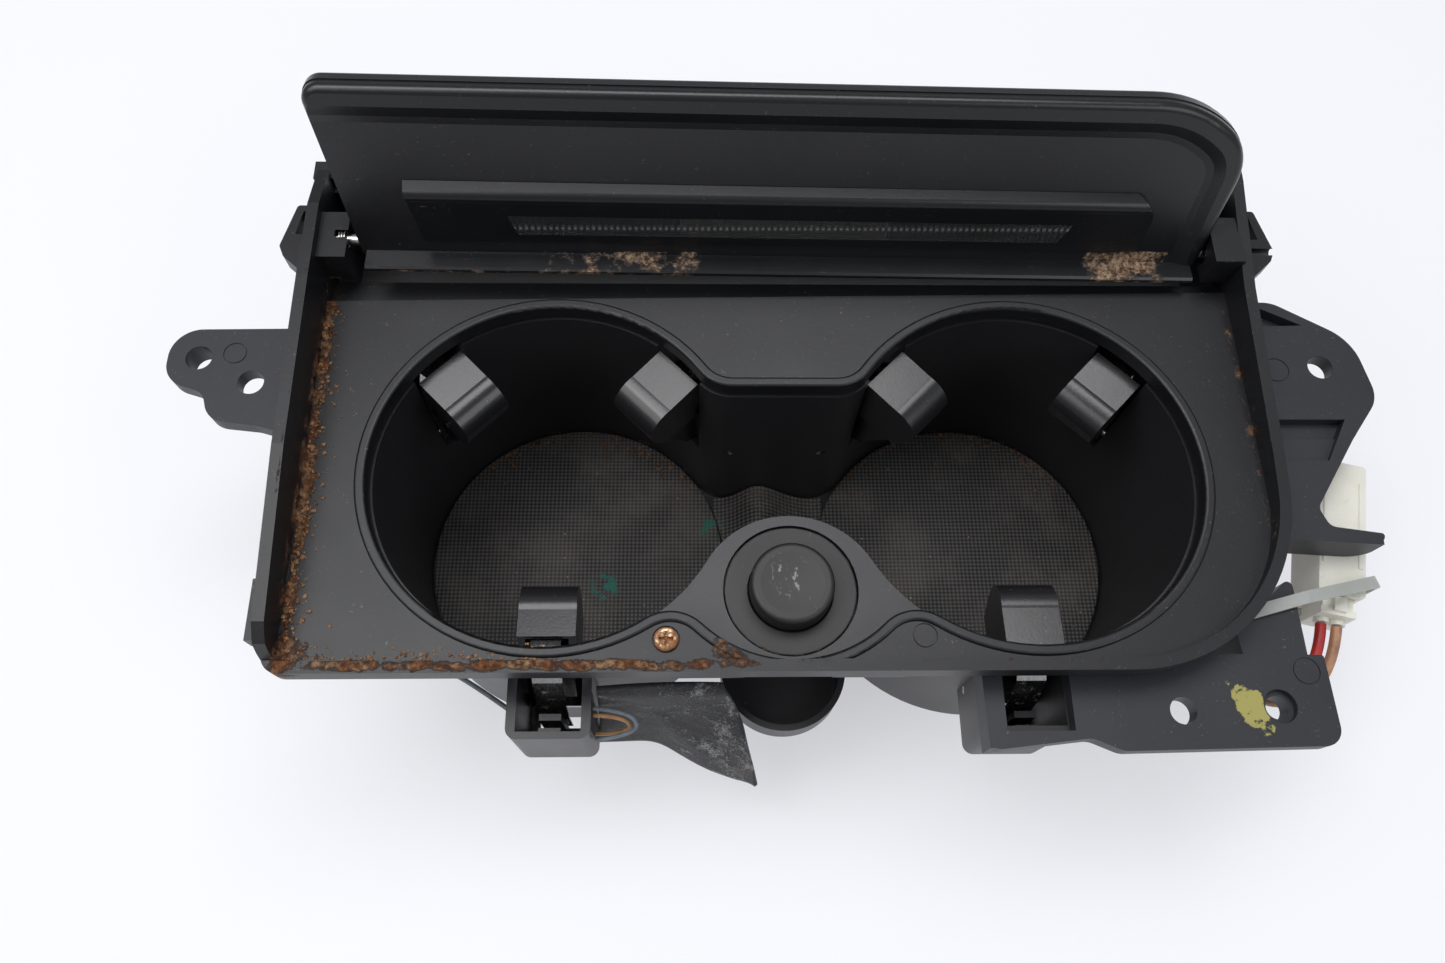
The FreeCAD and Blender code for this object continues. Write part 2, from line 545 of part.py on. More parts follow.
def lid_corners(inset):
    """Right side and top of the lid's outline, `inset` from its edge."""
    return [(122 - inset, LID_BOTTOM + inset, 4 - inset * 0.5), (125.2 - inset, 34.7 - 0.52 * inset, 18 - inset),
            (106.2 - 0.31 * inset, LID_TOP - inset, 37 - inset), (-127.5 + inset, LID_TOP - inset, 5 - inset * 0.6)]


def lid_outline(inset, z0, z1):
    return prism(lid_corners(inset) + [(-120.4 + inset, LID_BOTTOM + inset, 4 - inset * 0.5)], z0, z1)


def lid_pocket():
    """The sunk field of the inner face, open to the left and below, with a sloping edge."""
    wires = []
    for inset, z in ((10.6, 0.0), (8.6, 0.3), (6.6, 0.9), (5.2, LID_RIM_RISE + 0.1)):
        right, top = lid_corners(inset)[1:3]
        wire = rounded([(right[0] - 1.6, -20, 0), right, top, (-140, LID_TOP - inset, 0), (-140, -20, 0)])
        wire.translate(Vector(0, 0, z))
        wires.append(wire)
    return Part.makeLoft(wires, True, True)


def lid_skin():
    block = lid_outline(0, LID_BACK, LID_SEAM)
    block = block.makeFillet(2.0, [e for e in block.Edges if all(abs(v.Z - LID_BACK) < 1e-6 for v in e.Vertexes)])
    shell = block.cut(lid_outline(SKIN, LID_BACK + SKIN, 1))
    return shell.cut(hinge_axis(HINGE_PIN_R + 0.2, -150, 150))


def lamp_wedge(shrink):
    """Raised lamp housing: a round ridge near its top and a long slope down to the ledge."""
    s = shrink
    x = LAMP_LEFT + s
    foot = Vector(x, LAMP_FOOT[0] + s, LAMP_FOOT[1] - s)
    ridge = Vector(x, LAMP_RIDGE[0], LAMP_RIDGE[1] - s)
    crown, brow = Vector(x, 17.6 - 0.3 * s, 3.7 - s), Vector(x, 19.3 - s, 2.8 - s)
    back, root = Vector(x, 21.2 - s, -1.5 - s), Vector(x, LAMP_FOOT[0] + s, -1.5 - s)
    edges = [Part.LineSegment(root, foot), Part.LineSegment(foot, ridge), Part.Arc(ridge, crown, brow),
             Part.LineSegment(brow, back), Part.LineSegment(back, root)]
    face = Part.Face(Part.Wire([e.toShape() for e in edges]))
    wedge = face.extrude(Vector(LAMP_RIGHT - LAMP_LEFT - 2 * s, 0, 0))
    plan = prism([(LAMP_LEFT + s, 26, 1), (LAMP_LEFT + 5 + s, -4, 1), (LAMP_RIGHT - s, -4, 1),
                  (LAMP_RIGHT - s, 21.2 - s, 9)], -6, 6)
    return wedge.common(plan)


def lens_slot(grow, z0, z1):
    return prism([(LENS_LEFT - grow, LENS_HIGH + grow), (LENS_LEFT + 2.5 - grow, LENS_LOW - grow),
                  (LENS_RIGHT - 3 + grow, LENS_LOW - grow), (LENS_RIGHT + grow, LENS_HIGH + grow)], z0, z1)


def lid_panel():
    plate = lid_outline(0.25, LID_SEAM, LID_RIM_RISE)
    rim = [e for e in plate.Edges if all(abs(v.Z - LID_RIM_RISE) < 1e-6 for v in e.Vertexes)]
    plate = plate.makeFillet(2.0, rim).cut(lid_pocket())
    ledge_profile = [(-1.5, -2.4), (0.2, -2.4), (5.4, -3.9), (5.9, -4.6), (5.4, -5.8), (0, LID_BOTTOM + 2.2),
                     (-1.5, LID_BOTTOM + 2.2)]
    points = [Vector(-119, y, z) for z, y in ledge_profile]
    ledge = Part.Face(Part.makePolygon(points + points[:1])).extrude(Vector(239, 0, 0))
    bosses = [box(-117.6, -111, -2.7, 4, -5.1, -1), box(111, 119.2, -2.7, 4, -5.1, -1)]
    body = fuse(plate, lamp_wedge(0), ledge, *bosses)
    hollow = box(LENS_LEFT - 6, LENS_RIGHT + 6, LENS_LOW - 1, 16.5, -3, -1.0)
    body = body.cut(lamp_wedge(1.4).common(box(-90, 90, 3, 19, -4, 4))).cut(hollow)
    body = body.cut(lens_slot(0, -4, 6))
    return body.cut(hinge_axis(HINGE_PIN_R + RUNNING_GAP, -150, 150))


def lid_lens():
    """Clear lens that fills the slot, flush with the sloping face."""
    low = LAMP_FOOT[1] + LAMP_SLOPE * (LENS_LOW - 1 - LAMP_FOOT[0]) - 0.15
    high = LAMP_FOOT[1] + LAMP_SLOPE * (LENS_HIGH + 1 - LAMP_FOOT[0]) - 0.15
    profile = [(low - 1.6, LENS_LOW - 1), (low, LENS_LOW - 1), (high, LENS_HIGH + 1), (high - 1.6, LENS_HIGH + 1)]
    points = [Vector(LENS_LEFT - 5, y, z) for z, y in profile]
    slab = Part.Face(Part.makePolygon(points + points[:1])).extrude(Vector(LENS_RIGHT - LENS_LEFT + 10, 0, 0))
    return slab.common(lens_slot(-0.1, -4, 6))


def lamp_holder():
    """Channel that holds the festoon bulb and backs the lens."""
    tray = box(-30, 30, 3.4, 14, -5.0, -1.8).cut(box(-28.6, 28.6, 4.8, 12.6, -4.2, 0))
    clips = [box(x - 0.4, x + 0.4, 5, 12, -4.2, -2.0) for x in (-22, 22)]
    return fuse(tray, *clips)


def lamp_reflector():
    strip = box(LENS_LEFT, LENS_RIGHT, 3.4, 14, -5.1, -2.0).cut(box(-200, 200, 4.0, 13.4, -4.8, 0))
    return strip.cut(box(-30.3, 30.3, 0, 20, -6, 0))


def lamp_bulb():
    glass = Part.makeCylinder(1.9, 36, Vector(-18, 8.6, -2.2), Vector(1, 0, 0))
    return glass.makeFillet(1.2, glass.Edges)


def bulb_caps():
    return Part.makeCompound([Part.makeCylinder(1.5, 3.0, Vector(x, 8.6, -2.2), Vector(1, 0, 0))
                              for x in (-21.0, 18.0)])


def hinge_pins():
    return stand_up(Part.makeCompound([hinge_axis(HINGE_PIN_R, -131.5, -113), hinge_axis(HINGE_PIN_R, 113, 131.5)]))


def lid_spring():
    """Small coil round the left pin, in the counterbore of the cheek."""
    helix = Part.makeHelix(0.72, 2.16, 2.4)
    start = helix.Edges[0].Vertexes[0].Point
    section = Part.Wire([Part.makeCircle(0.3, start, Vector(0, 1, 0.04))])
    coil = Part.Wire(helix.Edges).makePipeShell([section], True, False)
    coil.rotate(Vector(0, 0, 0), Vector(0, 1, 0), 90)
    coil.translate(Vector(-CHEEK_X - 2.8, HINGE_UP, HINGE_OUT))
    return stand_up(coil)


# ---- brackets -----------------------------------------------------------------------------------
def left_ear():
    z0, z1 = EAR_TOP - EAR_THICK, EAR_TOP
    far, near = (-169.4, 37.9), (-153.4, 30.0)
    plate = prism([(-119.5, 48, 2), (-178.2, 47.2, 9), (-178.4, 30.5, 8), (-166.5, 26.6, 5), (-163.8, 17.8, 7),
                   (-150, 16.2, 5), (-136, 12, 6), (-119.5, 8, 2)], z0, z1)
    boss = ring(*far, 5.4, FIXING_R, z0 - 3, z0 + 0.5)
    body = fuse(plate, boss)
    body = body.cut(cyl(*far, FIXING_R, z0 - 6, z1 + 1)).cut(cyl(*near, FIXING_R, z0 - 6, z1 + 1))
    body = body.cut(ring(-159.2, 39.4, 3.4, 3.1, z1 - 0.3, z1 + 1))
    for x, y in EAR_SCREWS:
        body = body.cut(cyl(x, y, 1.7, z0 - 1, z1 + 1))
    room = cyl(-WELL_X, 0, WELL_R + HOUSING_WALL + 0.3, z0 - 6, z1 + 1)
    cage = at_gripper(box(48, 71, -11.8, 11.8, -60, 0), -WELL_X, GRIPPER_ANGLES["rear_left"])
    return body.cut(room).cut(cage)


def rear_right_bracket():
    z0, z1 = EAR_TOP - EAR_THICK, EAR_TOP
    body = prism([(119, 58, 2), (119, -4, 2), (138, -17.2, 1), (166.6, -19, 1.2), (167.4, -16.8, 0.8),
                  (152.4, -14.6, 3), (150.2, -9, 2.5), (164.9, 12, 5), (175.5, 25.5, 10), (172, 45, 16),
                  (150, 58, 10)], z0, z1)
    flange = Part.Face(rounded([(0, 0, 0), (27.4, 0, 0), (27.4, -11.5, 6), (0, -11.5, 0)])).extrude(Vector(0, 0, 2.2))
    flange.rotate(Vector(0, 0, 0), Vector(1, 0, 0), 90)
    flange.rotate(Vector(0, 0, 0), Vector(0, 0, 1), -3.5)
    flange.translate(Vector(139.2, -16.2, z1))
    body = fuse(body, flange)
    body = body.cut(prism([(142.5, 18.5), (164, 18.5), (156.6, 5.5), (142.5, 5.5)], z1 - 1.8, z1 + 1))
    body = body.cut(prism([(142.5, 18.5), (164, 18.5), (160.9, 13), (142.5, 13)], z1 - 3.5, z1 + 1))
    body = body.cut(prism([(138, 56), (146, 56), (158, 50), (138, 49.5)], z0 + 1.2, z1 + 1))
    body = body.cut(cyl(160.6, 35.8, FIXING_R, z0 - 1, z1 + 1))
    body = body.cut(ring(147.0, 34.8, 3.9, 3.6, z1 - 0.3, z1 + 1))
    for x, y in REAR_BRACKET_SCREWS:
        body = body.cut(cyl(x, y, 1.7, z0 - 1, z1 + 1))
    body = body.cut(cyl(*HOUSING_SCREWS[1], 4.2, z0 - 1, z1 + 1))
    room = cyl(WELL_X, 0, WELL_R + HOUSING_WALL + 0.3, z0 - 6, z1 + 1)
    cage = at_gripper(box(48, 71, -11.8, 11.8, -60, 0), WELL_X, GRIPPER_ANGLES["rear_right"])
    return body.cut(room).cut(cage)


def front_right_bracket():
    z0, z1 = FRONT_BRACKET_TOP - FRONT_BRACKET_THICK, FRONT_BRACKET_TOP
    plate = prism([(50.5, -52, 0), (50.9, -75.2, 3), (78, -72.2, 6), (86, -75.6, 6), (144.4, -74.6, 5),
                   (144, -50.4, 1), (114, -50, 2), (114, -38, 2), (100, -38, 2), (100, -49, 0)], z0, z1)
    window = box(55.9, 73.9, -70.2, -40, z0 - 1, z1 + 1)
    apron = prism([(50.6, -54), (50.9, -74.6), (53.2, -74.6), (53.2, -54)], z1 - 9, z1)
    holder = prism([(121.3, -44, 1), (122.2, -51.5, 0), (139.6, -51.5, 0), (139.6, -28, 1.5)], z1 - 19, z1)
    holder = holder.cut(prism([(124.6, -43.6, 0.5), (124.6, -49.5, 0), (137.6, -49.5, 0), (137.6, -32.2, 0.5)],
                              z1 - 20, z1 - 3))
    body = fuse(plate, apron, holder).cut(window)
    hole, counterbored = (103.2, -65.2), (129.4, -64.2)
    body = body.cut(cyl(*hole, FIXING_R - 0.2, z0 - 1, z1 + 1))
    collar = ring(*counterbored, 6.4, PEG_HOLE_R, z0 - 2, z0 + 1)
    body = fuse(body, collar).cut(cyl(*counterbored, 4.5, z1 - 2.0, z1 + 1))
    body = body.cut(cyl(*counterbored, PEG_HOLE_R, z0 - 3, z1 + 1))
    body = body.cut(ring(138.4, -54.8, 3.7, 3.4, z1 - 0.3, z1 + 1))
    for x, y in FRONT_BRACKET_SCREWS:
        body = body.cut(cyl(x, y, 1.7, z0 - 1, z1 + 1))
    body = body.cut(strap_loop(-0.15, 1.4, 3.8))
    return body.cut(cyl(WELL_X, 0, WELL_R + HOUSING_WALL + 0.3, z0 - 30, z1 + 1))


# ---- fasteners ----------------------------------------------------------------------------------
def screw(x, y, head_z, length, upward):
    """Pan-head screw with a cross recess; `upward` screws are driven from below."""
    head = cyl(0, 0, 3.25, 0, 2.0)
    head = head.makeFillet(0.9, [e for e in head.Edges if abs(e.BoundBox.ZMin - 2.0) < 1e-6])
    shank = cyl(0, 0, 1.2, -length, 0)
    cross = box(-1.9, 1.9, -0.4, 0.4, 0.9, 3).fuse(box(-0.4, 0.4, -1.9, 1.9, 0.9, 3))
    body = fuse(head, shank).cut(cross)
    if upward:
        body.rotate(Vector(0, 0, 0), Vector(1, 0, 0), 180)
    body.translate(Vector(x, y, head_z))
    return body


def housing_screws():
    return Part.makeCompound([screw(x, y, TAB_BOTTOM, 6.4, True) for x, y in HOUSING_SCREWS])


def bracket_screws():
    ears = [screw(x, y, EAR_TOP - EAR_THICK, 9, True) for x, y in EAR_SCREWS + REAR_BRACKET_SCREWS]
    front = [screw(x, y, FRONT_BRACKET_TOP - FRONT_BRACKET_THICK, 12, True) for x, y in FRONT_BRACKET_SCREWS]
    return Part.makeCompound(ears + front)


# ---- connectors, wires and flap -----------------------------------------------------------------
def at_connector(shape):
    placed = shape.copy()
    placed.rotate(Vector(0, 0, 0), Vector(0, 0, 1), CONNECTOR_TURN)
    placed.translate(Vector(*CONNECTOR_CORNER, 0))
    return placed


def connector_housing():
    """Long nylon socket: its mouth takes the plug, and a latch bridge stands on its top."""
    body = prism([(0, 0, 1.2), (13.2, 0, 1.2), (13.2, 42, 1.2), (0, 42, 1.2)], -36.5, -20)
    mouth = box(2.0, 11.2, -1, 14, -34.6, -21.8)
    ribs = [box(x, x + 1.2, 9, 36, -20.2, -19.6) for x in (0.9, 11.1)]
    return at_connector(fuse(body, *ribs).cut(mouth))


def connector_plug():
    body = box(2.3, 10.9, -5.6, 13.8, -34.2, -22.4)
    collar = box(1.6, 11.6, -5.6, -3.6, -34.8, -21.8)
    latch = box(4.9, 8.3, -4.6, -0.4, -22.4, -20.6)
    boots = [Part.makeCylinder(2.1, 1.4, Vector(x, -7.0, -27), Vector(0, 1, 0)) for x in (4.25, 8.8)]
    return at_connector(fuse(body, collar, latch, *boots))


def strap_loop(inner, outer, width):
    """Closed flat band round the bracket's holder and the connector, between two offsets of its line."""
    line = [(-1.2, -10.6), (20, -10.6), (45.0, -19.2), (45.0, -36.9), (28, -36.9), (-1.2, -30.6)]
    centre = Vector(22, -24, 0)
    bands = []
    for offset in (outer, inner):
        corners = []
        for u, z in line:
            away = Vector(u, z, 0) - centre
            right, above = (1 if away.x > 0 else -1), (1 if away.y > 0 else -1)
            corners.append((u + right * offset, z + above * offset, 1.2 + max(offset, 0)))
        bands.append(prism(corners, -width / 2, width / 2))
    loop = bands[0].cut(bands[1])
    loop.rotate(Vector(0, 0, 0), Vector(1, 0, 0), 90)
    loop.rotate(Vector(0, 0, 0), Vector(0, 0, 1), 15)
    loop.translate(Vector(124.5, -39.4, 0))
    return loop


def cable_tie():
    return strap_loop(0, 1.2, 3.4)


def cord(name, points, radius):
    """Tube along straight runs joined by tangent arcs."""
    route = [Vector(*p) for p in points]
    edges = []
    here = route[0]
    for before, corner, after in zip(route, route[1:], route[2:]):
        back, on = before - corner, after - corner
        run = min(back.Length, on.Length)
        back.normalize()
        on.normalize()
        half = back.getAngle(on) / 2
        reach = 0.45 * run
        bend = reach * math.tan(half)
        start, finish = corner + back * reach, corner + on * reach
        inward = back + on
        inward.normalize()
        middle = corner + inward * (bend / math.sin(half) - bend)
        edges.append(Part.LineSegment(here, start).toShape())
        edges.append(Part.Arc(start, middle, finish).toShape())
        here = finish
        print(f"{name}: bend radius {bend:.1f} mm, tube diameter {2 * radius:.1f} mm")
    edges.append(Part.LineSegment(here, route[-1]).toShape())
    path = Part.Wire(edges)
    print(f"{name}: length {path.Length:.1f} mm")
    section = Part.Wire([Part.makeCircle(radius, route[0], route[1] - route[0])])
    return path.makePipeShell([section], True, False)


def felt_flap():
    """Soft strip stuck behind the front edge, drooping to the front and twisting at its right end."""
    top = [(-52.4, -55.0, -20), (-34, -53.8, -20), (-18, -53.8, -20)]
    low = [(-53.4, -64.5, -58), (-27, -71.2, -60), (-7, -80.6, -60)]
    thick = Vector(0, -1.2, 0)

    def curve(points):
        spline = Part.BSplineCurve()
        spline.interpolate([Vector(*p) for p in points])
        return spline.toShape()

    face = Part.makeRuledSurface(curve(top), curve(low))
    return face.extrude(thick)


# ---- write every node ---------------------------------------------------------------------------
os.makedirs("parts", exist_ok=True)

save("tray_bezel", tray_bezel())
save("well_housing", well_housing())
save("mat_left", mat(-1))
save("mat_right", mat(1))
save("mat_link", mat_link())

for side, place, well_x, angle in gripper_places():
    shows_spring = (side, place) == ("left", "front")
    finger = gripper(45.4 if shows_spring else 49.0)
    spring = leaf_spring(-7.2 if shows_spring else -10.4)
    save(f"gripper_{side}_{place}", at_gripper(finger, well_x, angle))
    save(f"gripper_spring_{side}_{place}", at_gripper(spring, well_x, angle))
pins = [at_gripper(gripper_pin(), well_x, angle) for _, _, well_x, angle in gripper_places()]
save("gripper_pins", Part.makeCompound(pins))

save("socket_ring", socket_ring())
save("socket_barrel", socket_barrel())
save("socket_sleeve", socket_sleeve())
save("socket_insulator", socket_insulator())
save("socket_terminals", socket_terminals())
save("socket_shroud", socket_shroud())
save("lighter_knob", lighter_knob())
save("lighter_can", lighter_can())
save("lighter_coil", lighter_coil())

save("lid_skin", stand_up(lid_skin()))
save("lid_panel", stand_up(lid_panel()))
save("lid_lens", stand_up(lid_lens()))
save("lamp_holder", stand_up(lamp_holder()))
save("lamp_reflector", stand_up(lamp_reflector()))
save("lamp_bulb", stand_up(lamp_bulb()))
save("bulb_caps", stand_up(bulb_caps()))
save("hinge_pins", hinge_pins())
save("lid_spring", lid_spring())

save("left_ear", left_ear())
save("rear_right_bracket", rear_right_bracket())
save("front_right_bracket", front_right_bracket())
save("bezel_screw", screw(*BEZEL_SCREW, -0.9, 12, False))
save("housing_screws", housing_screws())
save("bracket_screws", bracket_screws())

save("connector_housing", connector_housing())
save("connector_plug", connector_plug())
save("cable_tie", cable_tie())
save("loop_wire_grey", cord("loop_wire_grey", LOOP_GREY, THIN_WIRE_R))
save("loop_wire_tan", cord("loop_wire_tan", LOOP_TAN, THIN_WIRE_R))
save("left_cable", cord("left_cable", LEFT_CABLE, WIRE_R))
save("red_wire", cord("red_wire", RED_WIRE, FEED_R))
save("brown_wire", cord("brown_wire", BROWN_WIRE, FEED_R))
save("felt_flap", felt_flap())
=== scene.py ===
import json
import math
import random

import bpy
from mathutils import Matrix, Vector


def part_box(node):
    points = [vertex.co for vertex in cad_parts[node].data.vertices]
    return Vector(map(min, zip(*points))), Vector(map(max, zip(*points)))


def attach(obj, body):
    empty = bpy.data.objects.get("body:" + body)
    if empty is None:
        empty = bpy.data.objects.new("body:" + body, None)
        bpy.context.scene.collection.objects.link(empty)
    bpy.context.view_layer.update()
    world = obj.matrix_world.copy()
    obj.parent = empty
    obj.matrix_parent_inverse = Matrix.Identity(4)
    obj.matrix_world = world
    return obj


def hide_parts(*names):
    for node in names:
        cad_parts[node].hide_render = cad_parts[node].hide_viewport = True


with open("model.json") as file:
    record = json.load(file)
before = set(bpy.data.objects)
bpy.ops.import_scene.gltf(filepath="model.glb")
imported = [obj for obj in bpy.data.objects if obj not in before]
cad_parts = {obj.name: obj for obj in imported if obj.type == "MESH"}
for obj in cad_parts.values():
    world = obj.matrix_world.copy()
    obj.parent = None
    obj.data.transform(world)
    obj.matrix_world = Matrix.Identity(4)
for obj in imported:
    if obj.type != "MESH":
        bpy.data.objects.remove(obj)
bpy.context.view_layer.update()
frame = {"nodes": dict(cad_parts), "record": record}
scene = bpy.context.scene

# ---- places worked out from the frame -----------------------------------------------------------
HOUSING_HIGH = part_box("well_housing")[1]
MAT_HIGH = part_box("mat_left")[1]
RING_LOW, RING_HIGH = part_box("socket_ring")
DECK_Z = 0.086            # top face of the deck
WALL_X = 0.1318           # inner face of each side wall
FRONT_Y = -0.0538         # back of the front rim
WELL_X = 0.0649           # each well's axis
CRUMB_REACH = 0.0478      # farthest that crumbs lie from that axis
SOCKET = (RING_LOW + RING_HIGH) / 2
LEDGE_Z = DECK_Z + 0.0085


# ---- node-tree helpers --------------------------------------------------------------------------
class Shader:
    """One material, with short names for the nodes that it is built from. Lengths are in metres."""

    def __init__(self, name):
        self.material = bpy.data.materials.new(name)
        self.material.use_nodes = True
        self.tree = self.material.node_tree
        self.bsdf = self.tree.nodes["Principled BSDF"]
        self.place = self.node("ShaderNodeTexCoord").outputs["Object"]
        self.height = None

    def node(self, kind, **settings):
        made = self.tree.nodes.new(kind)
        for key, value in settings.items():
            setattr(made, key, value)
        return made

    def put(self, value, socket):
        """Join an output to a socket, or write a number or colour on it."""
        if isinstance(value, bpy.types.NodeSocket):
            self.tree.links.new(value, socket)
        else:
            socket.default_value = value

    def math(self, operation, a, b=0.0, clamp=False):
        made = self.node("ShaderNodeMath", operation=operation, use_clamp=clamp)
        self.put(a, made.inputs[0])
        self.put(b, made.inputs[1])
        return made.outputs[0]

    def mix(self, amount, a, b):
        made = self.node("ShaderNodeMix", data_type="RGBA")
        self.put(amount, made.inputs["Factor"])
        self.put(a, made.inputs[6])
        self.put(b, made.inputs[7])
        return made.outputs[2]

    def step(self, value, low, high):
        """0 below low and 1 above high, or the other way round if low is the larger."""
        made = self.node("ShaderNodeMapRange", interpolation_type="SMOOTHSTEP")
        self.put(value, made.inputs["Value"])
        self.put(low, made.inputs["From Min"])
        self.put(high, made.inputs["From Max"])
        return made.outputs["Result"]

    def stretched(self, scale, turn=(0, 0, 0)):
        made = self.node("ShaderNodeMapping")
        self.put(self.place, made.inputs["Vector"])
        made.inputs["Scale"].default_value = scale
        made.inputs["Rotation"].default_value = turn
        return made.outputs["Vector"]

    def noise(self, size, detail=3.0, roughness=0.55, stretch=(1, 1, 1), distortion=0.0):
        """Cloudy noise whose blotches are about `size` across, from 0 to 1."""
        made = self.node("ShaderNodeTexNoise")
        self.put(self.stretched([s / size for s in stretch]), made.inputs["Vector"])
        made.inputs["Scale"].default_value = 1.0
        made.inputs["Detail"].default_value = detail
        made.inputs["Roughness"].default_value = roughness
        made.inputs["Distortion"].default_value = distortion
        return made.outputs["Fac"]

    def cells(self, size, stretch=(1, 1, 1)):
        """Distance to the nearest of many scattered points, in units of their spacing."""
        made = self.node("ShaderNodeTexVoronoi")
        self.put(self.stretched([s / size for s in stretch]), made.inputs["Vector"])
        made.inputs["Scale"].default_value = 1.0
        return made.outputs["Distance"]

    def axis(self, letter):
        made = self.node("ShaderNodeSeparateXYZ")
        self.put(self.place, made.inputs[0])
        return made.outputs[letter]

    def near(self, letter, value, reach):
        """1 where the coordinate is `value`, falling to 0 at `reach` either side."""
        gap = self.math("ABSOLUTE", self.math("SUBTRACT", self.axis(letter), value))
        return self.step(gap, reach, 0.0)

    def between(self, letter, low, high, soft=0.004):
        up = self.step(self.axis(letter), low - soft, low + soft)
        return self.math("MULTIPLY", up, self.step(self.axis(letter), high + soft, high - soft))

    def spot(self, centre, radius, soft=0.5):
        """1 inside a ball round a point, falling to 0 at its radius."""
        made = self.node("ShaderNodeVectorMath", operation="DISTANCE")
        self.put(self.place, made.inputs[0])
        made.inputs[1].default_value = centre
        return self.step(made.outputs["Value"], radius, radius * (1 - soft))

    def both(self, *masks):
        out = masks[0]
        for mask in masks[1:]:
            out = self.math("MULTIPLY", out, mask)
        return out

    def most(self, *masks):
        out = masks[0]
        for mask in masks[1:]:
            out = self.math("MAXIMUM", out, mask)
        return out

    def raise_by(self, value, amount):
        """Add `value` times `amount` to the surface's height."""
        term = self.math("MULTIPLY", value, amount)
        self.height = term if self.height is None else self.math("ADD", self.height, term)

    def finish(self, colour, roughness, **rest):
        self.put(colour, self.bsdf.inputs["Base Color"])
        self.put(roughness, self.bsdf.inputs["Roughness"])
        for key, value in rest.items():
            self.put(value, self.bsdf.inputs[key.replace("_", " ")])
        if self.height is not None:
            bump = self.node("ShaderNodeBump")
            bump.inputs["Strength"].default_value = 1.0
            bump.inputs["Distance"].default_value = 1.0
            self.put(self.height, bump.inputs["Height"])
            self.put(bump.outputs["Normal"], self.bsdf.inputs["Normal"])
        return self.material


def grey(value, warm=0.0):
    return (value * (1 + warm), value, value * (1 - warm), 1.0)


DIRT_TAN = (0.34, 0.20, 0.11, 1.0)
DIRT_PALE = (0.50, 0.38, 0.26, 1.0)
DIRT_RUST = (0.22, 0.075, 0.022, 1.0)
DUST = (0.26, 0.26, 0.25, 1.0)


def moulded(name, base, roughness, dirt=None, grain=0.0009, grain_height=0.00003, dust=0.5, coat=0.0,
            smear=0.25, rusty=0.5, pale=0.0, extra=None):
    """Black moulded plastic: fine grain, cloudy handling marks, dust, and soil where `dirt` says."""
    s = Shader(name)
    cloud = s.noise(0.022, detail=4.0, roughness=0.6)
    fine = s.noise(grain, detail=2.0)
    colour = s.mix(cloud, [c * 0.8 for c in base[:3]] + [1], [min(1, c * 1.25) for c in base[:3]] + [1])
    scratch = s.step(s.noise(0.0013, detail=2.0, stretch=(0.05, 1, 1)), 0.68, 0.76)
    colour = s.mix(s.both(scratch, s.step(cloud, 0.5, 0.7), 0.3), colour, grey(base[0] * 3.0))
    specks = s.both(s.step(s.cells(0.0046), 0.055, 0.025), s.step(s.noise(0.02), 0.50, 0.66), dust)
    lint = s.both(s.step(s.noise(0.0016, detail=1.0, distortion=2.5), 0.735, 0.76), dust * 0.5)
    colour = s.mix(s.most(specks, lint), colour, DUST)
    rough = s.math("ADD", roughness - smear * 0.25, s.math("MULTIPLY", cloud, smear * 0.5))
    s.raise_by(fine, grain_height)
    if dirt is not None:
        amount = dirt(s)
        crumb = s.noise(0.0016, detail=5.0, roughness=0.75)
        tone = s.step(s.noise(0.007, detail=4.0, roughness=0.65), 0.62 - rusty * 0.35, 0.86 - rusty * 0.35)
        soil = s.mix(tone, s.mix(pale, DIRT_TAN, DIRT_PALE), DIRT_RUST)
        soil = s.mix(s.step(crumb, 0.38, 0.66), [c * 0.22 for c in DIRT_RUST[:3]] + [1], soil)
        colour = s.mix(amount, colour, soil)
        rough = s.math("ADD", rough, s.math("MULTIPLY", amount, 0.5), clamp=True)
        s.raise_by(s.both(amount, crumb), 0.0007)
    if extra is not None:
        colour = extra(s, colour)
    return s.finish(colour, rough, Coat_Weight=coat, Coat_Roughness=0.22)


def patchy(s, where, low, high, size=0.011):
    """Break a smooth mask up into the ragged patches that dirt makes."""
    ragged = s.noise(size, detail=6.0, roughness=0.68)
    return s.step(s.math("ADD", s.math("MULTIPLY", where, 0.6), s.math("MULTIPLY", ragged, 0.75)), low, high)


def tray_dirt(s):
    crease = s.both(s.near("X", -WALL_X + 0.0015, 0.0065), s.between("Y", -0.056, 0.050, 0.006))
    stain = s.both(s.near("X", -WALL_X - 0.0005, 0.0022), s.between("Y", -0.03, 0.075, 0.006), 0.9)
    high = s.both(s.near("X", -WALL_X + 0.002, 0.007), s.between("Y", 0.046, 0.064, 0.004))
    corner = s.spot((-0.130, -0.0525, DECK_Z), 0.016, 0.9)
    front = s.both(s.near("Y", FRONT_Y - 0.0012, 0.0052), s.between("X", -0.13, -0.004, 0.01))
    strip = s.both(s.spot((-0.016, -0.0525, DECK_Z), 0.016, 0.95), s.step(s.axis("Y"), -0.0585, -0.053), 0.97)
    front_thin = s.both(s.near("Y", FRONT_Y - 0.0005, 0.0030), s.between("X", -0.01, 0.10, 0.02), 0.74)
    right = s.both(s.near("X", WALL_X - 0.001, 0.005), s.between("Y", -0.03, 0.056, 0.01), 0.78)
    low = s.step(s.axis("Z"), DECK_Z + 0.0045, DECK_Z + 0.0015)
    above = s.both(s.step(s.axis("Z"), DECK_Z - 0.0035, DECK_Z - 0.0005), low)
    marks = patchy(s, s.most(crease, corner, front, strip, front_thin, right, high), 0.86, 0.98, 0.0065)
    return s.most(s.both(marks, above), s.both(patchy(s, stain, 0.98, 1.04, 0.008), 0.8))


